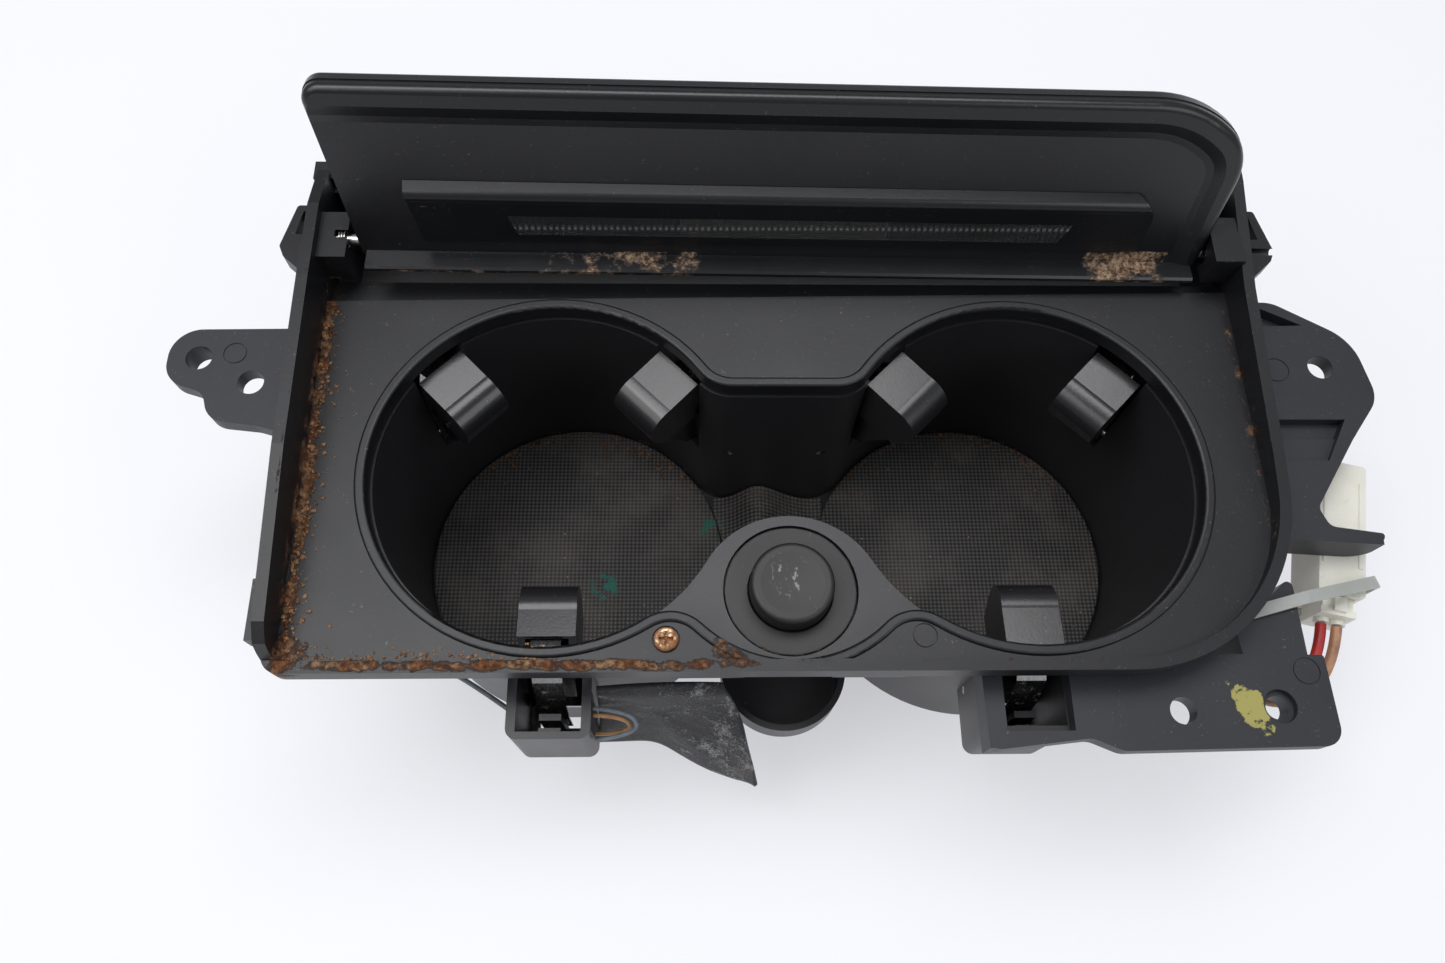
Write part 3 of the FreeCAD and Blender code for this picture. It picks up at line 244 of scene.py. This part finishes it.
def housing_dirt(s):
    foot = s.both(s.near("Z", MAT_HIGH.z, 0.006), s.step(s.axis("Y"), 0.005, 0.035))
    collar = s.both(s.near("Z", HOUSING_HIGH.z, 0.003), s.spot((0, SOCKET.y, DECK_Z - 0.005), 0.030, 0.35))
    return patchy(s, s.most(s.both(foot, 0.9), s.both(collar, 0.85)), 0.93, 1.03, 0.005)


def lid_dirt(s):
    """Soil on the ledge: most at its left half and at its right end."""
    ledge = s.step(s.axis("Z"), LEDGE_Z + 0.0022, LEDGE_Z + 0.0002)
    left = s.both(ledge, s.between("X", -0.116, -0.018, 0.008))
    right = s.both(ledge, s.between("X", 0.084, 0.116, 0.008))
    glue = s.both(s.near("X", -0.100, 0.010), s.near("Z", DECK_Z + 0.0262, 0.0016), 0.85)
    return patchy(s, s.most(s.both(left, 0.92), right, glue), 0.90, 0.99, 0.006)


def ring_dirt(s):
    made = s.node("ShaderNodeVectorMath", operation="DISTANCE")
    s.put(s.place, made.inputs[0])
    made.inputs[1].default_value = (0, SOCKET.y, RING_HIGH.z)
    groove = s.step(s.math("ABSOLUTE", s.math("SUBTRACT", made.outputs["Value"], 0.0178)), 0.0016, 0.0)
    return patchy(s, s.both(groove, 0.92), 0.92, 1.04, 0.004)


def bracket_dirt(s):
    return patchy(s, s.both(s.near("Z", DECK_Z - 0.012, 0.006), 0.5), 0.95, 1.08, 0.009)


def bracket_residue(s, colour):
    """Dried yellow-green smear beside the counterbored hole, leaning right as it comes forward."""
    lean = s.math("MULTIPLY", s.math("ADD", s.axis("Y"), 0.0645), 0.33)
    aside = s.math("ABSOLUTE", s.math("ADD", s.math("SUBTRACT", s.axis("X"), 0.1218), lean))
    top_face = s.step(s.axis("Z"), 0.0735, 0.0745)
    spot = s.both(s.step(aside, 0.0055, 0.0028), s.near("Y", -0.0645, 0.0105), top_face)
    ragged = s.step(s.math("ADD", s.math("MULTIPLY", spot, 0.42), s.noise(0.0026, detail=6.0, roughness=0.7)),
                    0.70, 0.78)
    return s.mix(s.both(ragged, s.step(spot, 0.02, 0.25)), colour, (0.36, 0.33, 0.09, 1))


def knob_wear(s, colour):
    """Pale rub marks left on the knob's face."""
    place = s.spot((-0.001, SOCKET.y + 0.0015, DECK_Z + 0.0014), 0.0075, 0.7)
    marks = s.step(s.noise(0.0030, detail=5.0, roughness=0.7, stretch=(1.6, 0.8, 1)), 0.56, 0.62)
    return s.mix(s.both(place, marks, 0.75), colour, (0.30, 0.30, 0.29, 1))


def mat_rubber(name):
    """Rubber mat moulded with small diamonds whose tops are painted lighter as a painted highlight, greyed by
    dust and dried drips.
    """
    s = Shader(name)
    pitch = 0.0027
    k = 2 * math.pi / pitch
    across = s.math("SINE", s.math("MULTIPLY", s.math("ADD", s.axis("X"), s.axis("Y")), k))
    along = s.math("SINE", s.math("MULTIPLY", s.math("SUBTRACT", s.axis("X"), s.axis("Y")), k))
    diamonds = s.step(s.math("MULTIPLY", across, along), -0.35, 0.45)
    cloud = s.noise(0.03, detail=5.0, roughness=0.65)
    # The raised diamonds are painted lighter than the hollows between them: a painted highlight on their
    # tops.
    colour = s.mix(diamonds, (0.007, 0.0068, 0.0068, 1), (0.085, 0.080, 0.079, 1))
    # Dust grey, laid on more strongly on the diamond tops: partly dust, partly painted highlight.
    dusty = s.both(s.step(cloud, 0.42, 0.68), s.math("ADD", 0.35, s.math("MULTIPLY", diamonds, 0.5)))
    colour = s.mix(dusty, colour, (0.125, 0.115, 0.105, 1))
    brown = s.step(s.noise(0.013, detail=6.0, roughness=0.7), 0.56, 0.72)
    colour = s.mix(s.math("MULTIPLY", brown, 0.45), colour, (0.070, 0.045, 0.028, 1))
    teal = s.most(s.spot((-0.0560, -0.0090, MAT_HIGH.z), 0.006), s.spot((-0.030, -0.0235, MAT_HIGH.z), 0.005),
                  s.both(s.spot((-0.020, 0.012, MAT_HIGH.z), 0.005), 0.8))
    teal = s.both(teal, s.step(s.noise(0.004, detail=4.0), 0.46, 0.56))
    colour = s.mix(teal, colour, (0.01, 0.13, 0.10, 1))
    specks = s.both(s.step(s.cells(0.0045), 0.07, 0.03), s.step(s.noise(0.02), 0.42, 0.56))
    colour = s.mix(specks, colour, (0.36, 0.34, 0.31, 1))
    s.raise_by(diamonds, 0.00030)
    s.raise_by(cloud, 0.0004)
    return s.finish(colour, s.math("ADD", 0.55, s.math("MULTIPLY", cloud, 0.25)))


def metal(name, colour, roughness, rust=0.0, brushed=(1, 0.05, 1)):
    s = Shader(name)
    streak = s.noise(0.0008, detail=3.0, stretch=brushed)
    tint = s.mix(streak, [c * 0.72 for c in colour] + [1], list(colour) + [1])
    rough = s.math("ADD", roughness - 0.1, s.math("MULTIPLY", streak, 0.25))
    metallic = 1.0
    if rust:
        patch = s.step(s.noise(0.0028, detail=6.0, roughness=0.7), 0.62 - rust * 0.35, 0.74 - rust * 0.3)
        deep = s.mix(s.noise(0.0012, detail=3.0), (0.12, 0.035, 0.010, 1), (0.42, 0.17, 0.05, 1))
        tint = s.mix(patch, tint, deep)
        rough = s.math("ADD", rough, s.math("MULTIPLY", patch, 0.45), clamp=True)
        metallic = s.math("SUBTRACT", 1.0, patch, clamp=True)
        s.raise_by(s.both(patch, s.noise(0.0007, detail=4.0)), 0.0002)
    s.raise_by(streak, 0.00001)
    return s.finish(tint, rough, Metallic=metallic)


def lens_plastic(name):
    """Clear lens with fine upright flutes behind its face, hazy in places."""
    s = Shader(name)
    flute = s.math("SINE", s.math("MULTIPLY", s.axis("X"), 2 * math.pi / 0.0017))
    haze = s.step(s.noise(0.012, detail=5.0), 0.46, 0.74)
    # A lighter, less clear band across the flute crests near the lens's top edge: a painted highlight.
    line = s.both(s.near("Z", DECK_Z + 0.0181, 0.0011), s.step(flute, -1.0, 0.9))
    colour = s.mix(s.math("MULTIPLY", haze, 0.5), (0.34, 0.35, 0.36, 1), (0.22, 0.20, 0.17, 1))
    colour = s.mix(line, colour, (0.42, 0.43, 0.44, 1))
    s.raise_by(flute, 0.00008)
    rough = s.math("ADD", 0.05, s.math("MULTIPLY", haze, 0.22))
    clear = s.math("SUBTRACT", 0.93, s.math("MULTIPLY", line, 0.35))
    return s.finish(colour, rough, Transmission_Weight=clear, IOR=1.49)


def nylon(name, colour):
    """Natural nylon of a wiring connector: waxy, a little yellowed and handled."""
    s = Shader(name)
    cloud = s.noise(0.008, detail=4.0)
    tint = s.mix(cloud, [c * 0.82 for c in colour[:2]] + [colour[2] * 0.72, 1], list(colour) + [1])
    grime = s.step(s.noise(0.0035, detail=6.0, roughness=0.72), 0.60, 0.76)
    tint = s.mix(s.math("MULTIPLY", grime, 0.35), tint, (0.25, 0.2, 0.14, 1))
    s.raise_by(s.noise(0.0007), 0.00004)
    return s.finish(tint, s.math("ADD", 0.35, s.math("MULTIPLY", cloud, 0.2)), Subsurface_Weight=0.25,
                    Subsurface_Radius=(0.004, 0.0035, 0.003), Subsurface_Scale=0.5)


def sheath(name, colour, roughness=0.45):
    """Wire insulation, scuffed and a little dirty along its length."""
    s = Shader(name)
    cloud = s.noise(0.006, detail=5.0, roughness=0.65)
    wear_and_glint = [c * 0.6 for c in colour] + [1]
    bright = [min(1, c * 1.25) for c in colour] + [1]
    tint = s.mix(s.step(cloud, 0.3, 0.75), wear_and_glint, bright)
    s.raise_by(s.noise(0.0009, detail=3.0), 0.00004)
    return s.finish(tint, s.math("ADD", roughness - 0.1, s.math("MULTIPLY", cloud, 0.25)))


def fuzzy_felt(name):
    """Black pressed felt: matted fibres, with pale flecks painted on as highlights where they would catch the
    light, most where it folds at the right.
    """
    s = Shader(name)
    fibre = s.noise(0.0009, detail=5.0, roughness=0.8, distortion=1.2)
    matted = s.noise(0.006, detail=5.0, roughness=0.65)
    colour = s.mix(s.step(fibre, 0.42, 0.7), (0.004, 0.004, 0.005, 1), (0.030, 0.030, 0.032, 1))
    fold = s.step(s.axis("X"), -0.040, -0.016)
    shine = s.math("ADD", s.math("MULTIPLY", matted, 0.5), s.math("MULTIPLY", fibre, 0.6))
    # Pale flecks painted in as a highlight of fibres catching the light, most on the fold at the right.
    wear_and_glint = s.step(s.math("ADD", shine, s.math("MULTIPLY", fold, 0.05)), 0.615, 0.70)
    colour = s.mix(s.math("MULTIPLY", wear_and_glint, 0.75), colour, (0.30, 0.30, 0.31, 1))
    soil = s.both(s.step(s.axis("X"), -0.018, -0.010), s.step(s.noise(0.004, detail=4.0), 0.60, 0.66))
    colour = s.mix(soil, colour, (0.12, 0.045, 0.018, 1))
    s.raise_by(fibre, 0.0004)
    s.raise_by(matted, 0.0008)
    return s.finish(colour, s.math("SUBTRACT", 0.62, s.math("MULTIPLY", wear_and_glint, 0.25)), Sheen_Weight=0.15,
                    Sheen_Roughness=0.4)


def bulb_glass(name):
    s = Shader(name)
    s.raise_by(s.noise(0.004), 0.00005)
    tint = s.mix(s.noise(0.01), (0.92, 0.93, 0.92, 1), (0.98, 0.98, 0.96, 1))
    return s.finish(tint, 0.04, Transmission_Weight=0.9, IOR=1.5)


def reflector_aged_and_shaded(name):
    """Reflector shell behind the lens, grey with age and painted darker as shade, since it lies mostly in
    shadow.
    """
    s = Shader(name)
    cloud = s.noise(0.01, detail=4.0)
    # Dull dark grey: partly age, partly painted shade.
    return s.finish(s.mix(cloud, (0.05, 0.05, 0.05, 1), (0.16, 0.16, 0.16, 1)), 0.4)


MATERIALS = {
    "tray_plastic": moulded("tray_plastic", (0.0082, 0.0087, 0.0108), 0.42, tray_dirt, dust=0.6,
                            rusty=0.62),
    "housing_plastic": moulded("housing_plastic", (0.018, 0.018, 0.021), 0.40, housing_dirt, dust=0.3),
    "ring_plastic": moulded("ring_plastic", (0.015, 0.015, 0.016), 0.48, ring_dirt, dust=0.4, rusty=0.6),
    "bracket_plastic": moulded("bracket_plastic", (0.022, 0.023, 0.029), 0.48, bracket_dirt, dust=0.7,
                               rusty=0.3, extra=bracket_residue),
    "lid_plastic": moulded("lid_plastic", (0.0055, 0.006, 0.0075), 0.34, lid_dirt, dust=0.4, coat=0.2,
                           rusty=0.0, pale=0.6),
    "gripper_plastic": moulded("gripper_plastic", (0.014, 0.014, 0.016), 0.25, dust=0.3, coat=0.35),
    "knob_plastic": moulded("knob_plastic", (0.018, 0.018, 0.0185), 0.48, dust=0.7, extra=knob_wear),
    "mat_rubber": mat_rubber("mat_rubber"),
    "plated_steel": metal("plated_steel", (0.62, 0.60, 0.57), 0.35, rust=0.4),
    "spring_steel": metal("spring_steel", (0.78, 0.77, 0.75), 0.22, rust=0.08),
    "screw_steel": metal("screw_steel", (0.66, 0.42, 0.27), 0.38, rust=0.6),
    "terminal_brass": metal("terminal_brass", (0.75, 0.55, 0.25), 0.35, rust=0.2),
    "insulator": nylon("insulator", (0.62, 0.55, 0.42)),
    "clear_lens": lens_plastic("clear_lens"),
    "bulb_glass": bulb_glass("bulb_glass"),
    "reflector": reflector_aged_and_shaded("reflector"),
    "connector_white": nylon("connector_white", (0.86, 0.85, 0.80)),
    "wire_grey": sheath("wire_grey", (0.16, 0.19, 0.22)),
    "wire_tan": sheath("wire_tan", (0.46, 0.25, 0.11)),
    "tie_grey": nylon("tie_grey", (0.42, 0.44, 0.44)),
    "wire_red": sheath("wire_red", (0.50, 0.025, 0.02)),
    "wire_brown": sheath("wire_brown", (0.42, 0.22, 0.12)),
    "felt": fuzzy_felt("felt"),
}


def paint(obj, slot):
    obj.data.materials.clear()
    obj.data.materials.append(MATERIALS[slot])


for part in frame["record"]["subparts"]:
    paint(frame["nodes"][part["node"]], part["material_slot"])


# ---- wires --------------------------------------------------------------------------------------
def wire(name, points_mm, radius, slot, replaced):
    """A lead along its whole route, in millimetres from the deck's top face."""
    curve = bpy.data.curves.new(name, "CURVE")
    curve.dimensions = "3D"
    spline = curve.splines.new("NURBS")
    spline.points.add(len(points_mm) - 1)
    for point, (x, y, z) in zip(spline.points, points_mm):
        point.co = (x / 1000, y / 1000, DECK_Z + z / 1000, 1.0)
    spline.order_u = 3
    spline.use_endpoint_u = True
    curve.bevel_depth = radius
    curve.bevel_resolution = 5
    curve.resolution_u = 16
    obj = bpy.data.objects.new(name, curve)
    scene.collection.objects.link(obj)
    obj.data.materials.append(MATERIALS[slot])
    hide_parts(replaced)
    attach(obj, "tray")


wire("grey_lead", [(-53.2, -61.5, -22.5), (-42.4, -62.2, -23), (-41, -67.2, -30.8), (-53.2, -68.4, -31.6)],
     0.0006, "wire_grey", "loop_wire_grey")
wire("tan_lead", [(-53.2, -63, -24.2), (-44, -63.4, -24.6), (-43.2, -66.4, -33.4), (-53.2, -66.4, -33.6)],
     0.0006, "wire_tan", "loop_wire_tan")
wire("left_lead", [(-76.8, -60.5, -30), (-88, -52.6, -30), (-105, -44, -30.5), (-118, -26, -31),
                   (-121.5, -8, -32), (-118.4, 4, -33)], 0.0007, "wire_grey", "left_cable")
wire("red_lead", [(154.6, -37.6, -27), (152, -48.5, -27.5), (145.5, -56, -37), (138.5, -49, -47.5),
                  (135, -33, -50), (133, -3, -50), (130, 36, -46), (126.5, 64, -41), (126, 66, -22.6)],
     0.0015, "wire_red", "red_wire")
wire("brown_lead", [(159.0, -38.7, -27), (155.5, -51.5, -28), (147, -59.5, -39), (139, -52, -51),
                    (135.5, -35, -54), (134, -3, -54.5), (129, 36, -50.5), (121.6, 63.5, -45),
                    (121, 66, -22.6)], 0.0015, "wire_brown", "brown_wire")


# ---- felt flap: a cloth sheet hung by its top edge ----------------------------------------------
FELT_COLUMNS, FELT_ROWS = 40, 34
FELT_TOP = ((-52.4, -56.3, -20.5), (-34.0, -55.2, -20.5), (-18.0, -55.2, -20.5))
FELT_LOW = ((-53.0, -64.5, -58.0), (-25.5, -71.0, -59.0), (-3.5, -80.8, -58.5))


def through(points, t):
    """Point on the parabola through three points, t from 0 to 1."""
    a, b, c = (Vector(p) for p in points)
    return a * ((1 - t) * (1 - 2 * t)) + b * (4 * t * (1 - t)) + c * (t * (2 * t - 1))


def felt_point(u, v):
    top, low = through(FELT_TOP, u), through(FELT_LOW, u)
    place = top.lerp(low, v)
    bow = math.sin(math.pi * v) * (1.6 + 2.2 * u)
    curl = max(0.0, u - 0.72) / 0.28 * v
    place += Vector((-2.6 * curl * curl, -bow * 0.6, bow + 3.4 * curl * curl))
    place += Vector((0, -0.5 * math.sin(9 * u + 2) * v, 0))
    place.x -= 6.5 * max(0.0, (v - 0.86) / 0.14) * (1 - u) ** 2
    return Vector((place.x / 1000, place.y / 1000, DECK_Z + place.z / 1000))


def add_felt():
    spots = [felt_point(i / FELT_COLUMNS, j / FELT_ROWS) for j in range(FELT_ROWS + 1)
             for i in range(FELT_COLUMNS + 1)]
    wide = FELT_COLUMNS + 1
    faces = [(j * wide + i, j * wide + i + 1, (j + 1) * wide + i + 1, (j + 1) * wide + i)
             for j in range(FELT_ROWS) for i in range(FELT_COLUMNS)]
    mesh = bpy.data.meshes.new("felt_sheet")
    mesh.from_pydata(spots, [], faces)
    felt = bpy.data.objects.new("felt_sheet", mesh)
    scene.collection.objects.link(felt)
    held = felt.vertex_groups.new(name="held")
    held.add([j * wide + i for j in (0, 1, 2) for i in range(wide)], 1.0, "REPLACE")
    cloth = felt.modifiers.new("cloth", "CLOTH")
    cloth.settings.quality = 8
    cloth.settings.mass = 0.4
    cloth.settings.tension_stiffness = 60
    cloth.settings.compression_stiffness = 60
    cloth.settings.shear_stiffness = 40
    cloth.settings.bending_stiffness = 30
    cloth.settings.vertex_group_mass = "held"
    cloth.settings.effector_weights.gravity = 0.02
    for shot in range(1, 13):
        scene.frame_set(shot)
    settled = bpy.data.meshes.new_from_object(felt.evaluated_get(bpy.context.evaluated_depsgraph_get()))
    felt.modifiers.clear()
    felt.data = settled
    scene.frame_set(1)
    for face in settled.polygons:
        face.use_smooth = True
    thick = felt.modifiers.new("thickness", "SOLIDIFY")
    thick.thickness = 0.0011
    thick.offset = 0.0
    felt.data.materials.append(MATERIALS["felt"])
    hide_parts("felt_flap")
    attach(felt, "tray")


add_felt()


# ---- crumbs of soil lying in the tray -----------------------------------------------------------
def crumb_shade(name, dark, light):
    s = Shader(name)
    tone = s.noise(0.0024, detail=3.0)
    s.raise_by(s.noise(0.0005, detail=3.0), 0.0001)
    colour = s.mix(s.step(tone, 0.35, 0.65), dark, light)
    return s.finish(colour, s.math("ADD", 0.75, s.math("MULTIPLY", tone, 0.2)))


def scatter(name, places, shade, seed):
    """Small rough grains, one for each (x, y, z, size) in metres, resting on what is below them."""
    chance = random.Random(seed)
    spots, faces = [], []
    corners = [(1, 0, 0), (0, 1, 0), (-1, 0, 0), (0, -1, 0), (0, 0, 1), (0, 0, -0.6)]
    sides = [(0, 1, 4), (1, 2, 4), (2, 3, 4), (3, 0, 4), (1, 0, 5), (2, 1, 5), (3, 2, 5), (0, 3, 5)]
    for x, y, z, size in places:
        first = len(spots)
        turn = Matrix.Rotation(chance.uniform(0, 6.28), 3, "Z")
        for corner in corners:
            grown = turn @ Vector(corner) * size * chance.uniform(0.6, 1.3)
            spots.append((x + grown.x, y + grown.y, z + size * 0.4 + grown.z * 0.7))
        faces += [[first + k for k in side] for side in sides]
    mesh = bpy.data.meshes.new(name)
    mesh.from_pydata(spots, [], faces)
    grains = bpy.data.objects.new(name, mesh)
    scene.collection.objects.link(grains)
    grains.data.materials.append(shade)
    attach(grains, "tray")


def add_crumbs():
    chance = random.Random(11)
    crease = []
    for _ in range(330):
        out = chance.expovariate(1 / 0.0020)
        crease.append((-WALL_X + 0.0006 + min(out, 0.012), chance.uniform(-0.052, 0.050), DECK_Z,
                       chance.choice((0.00025, 0.00035, 0.0005, 0.0007))))
    for _ in range(120):
        along = chance.uniform(-0.130, -0.060)
        out = chance.expovariate(1 / 0.0012)
        crease.append((along, FRONT_Y + 0.0006 + min(out, 0.004), DECK_Z,
                       chance.choice((0.00025, 0.00035, 0.0005))))
    rust = crumb_shade("crumb_rust", (0.10, 0.035, 0.012, 1), (0.42, 0.22, 0.10, 1))
    scatter("crumbs_tray", crease, rust, 3)
    rear = []
    for side in (-1, 1):
        for _ in range(110):
            angle = math.radians(chance.uniform(35, 145))
            out = CRUMB_REACH - min(chance.expovariate(1 / 0.0022), 0.012)
            rear.append((side * WELL_X + out * math.cos(angle), out * math.sin(angle), MAT_HIGH.z,
                         chance.choice((0.00025, 0.0004, 0.0006, 0.0008))))
    brown = crumb_shade("crumb_brown", (0.035, 0.016, 0.008, 1), (0.20, 0.10, 0.045, 1))
    scatter("crumbs_mats", rear, brown, 5)


add_crumbs()


# ---- camera, floor and light --------------------------------------------------------------------
CAMERA_AT = Vector((-0.0265, -0.1188, 0.3629))
CAMERA_AIM = Vector((0.028, 0.382, -0.924))
CAMERA_ROLL = math.radians(3.86)
CAMERA_LENS = 27.4


def add_camera():
    camera = bpy.data.objects.new("camera", bpy.data.cameras.new("camera"))
    scene.collection.objects.link(camera)
    camera.data.lens = CAMERA_LENS
    camera.data.sensor_width = 36.0
    camera.data.clip_start = 0.01
    aim = CAMERA_AIM.normalized()
    turn = aim.to_track_quat("-Z", "Y").to_matrix().to_4x4()
    camera.matrix_world = Matrix.Translation(CAMERA_AT) @ turn @ Matrix.Rotation(CAMERA_ROLL, 4, "Z")
    scene.camera = camera


def add_light(name, place, aim, size, power, colour=(1, 1, 1)):
    data = bpy.data.lights.new(name, "AREA")
    data.shape = "RECTANGLE"
    data.size, data.size_y = size
    data.energy = power
    data.color = colour
    light = bpy.data.objects.new(name, data)
    scene.collection.objects.link(light)
    light.location = place
    light.rotation_euler = (Vector(aim) - Vector(place)).to_track_quat("-Z", "Y").to_euler()


def add_floor():
    """Pale sweep that is partly lit from within, so that the object hardly shadows it."""
    mesh = bpy.data.meshes.new("floor")
    half = 3.0
    mesh.from_pydata([(-half, -half, 0), (half, -half, 0), (half, half, 0), (-half, half, 0)], [],
                     [(0, 1, 2, 3)])
    floor = bpy.data.objects.new("floor", mesh)
    scene.collection.objects.link(floor)
    shade = Shader("floor")
    cloud = shade.noise(0.3, detail=2.0)
    tone = shade.mix(cloud, (0.44, 0.443, 0.462, 1), (0.47, 0.473, 0.49, 1))
    floor.data.materials.append(shade.finish(tone, 0.7, Emission_Color=(0.92, 0.925, 0.965, 1),
                                             Emission_Strength=0.53))


def add_world():
    world = bpy.data.worlds.new("world")
    world.use_nodes = True
    sky = world.node_tree.nodes["Background"]
    sky.inputs["Color"].default_value = (0.93, 0.95, 1.0, 1)
    sky.inputs["Strength"].default_value = 0.26
    scene.world = world


add_camera()
add_floor()
add_world()
add_light("overhead", (-0.12, 0.30, 1.2), (0, 0, 0.05), (1.2, 0.5), 8.5, (0.99, 0.99, 1.0))
add_light("key", (-0.7, -0.2, 1.0), (0, 0, 0.05), (0.8, 0.8), 4.5, (1.0, 0.99, 0.98))
add_light("fill", (0.75, -0.5, 0.9), (0, 0, 0.05), (0.7, 0.7), 3.0, (0.95, 0.97, 1.0))
scene.view_settings.view_transform = "Standard"
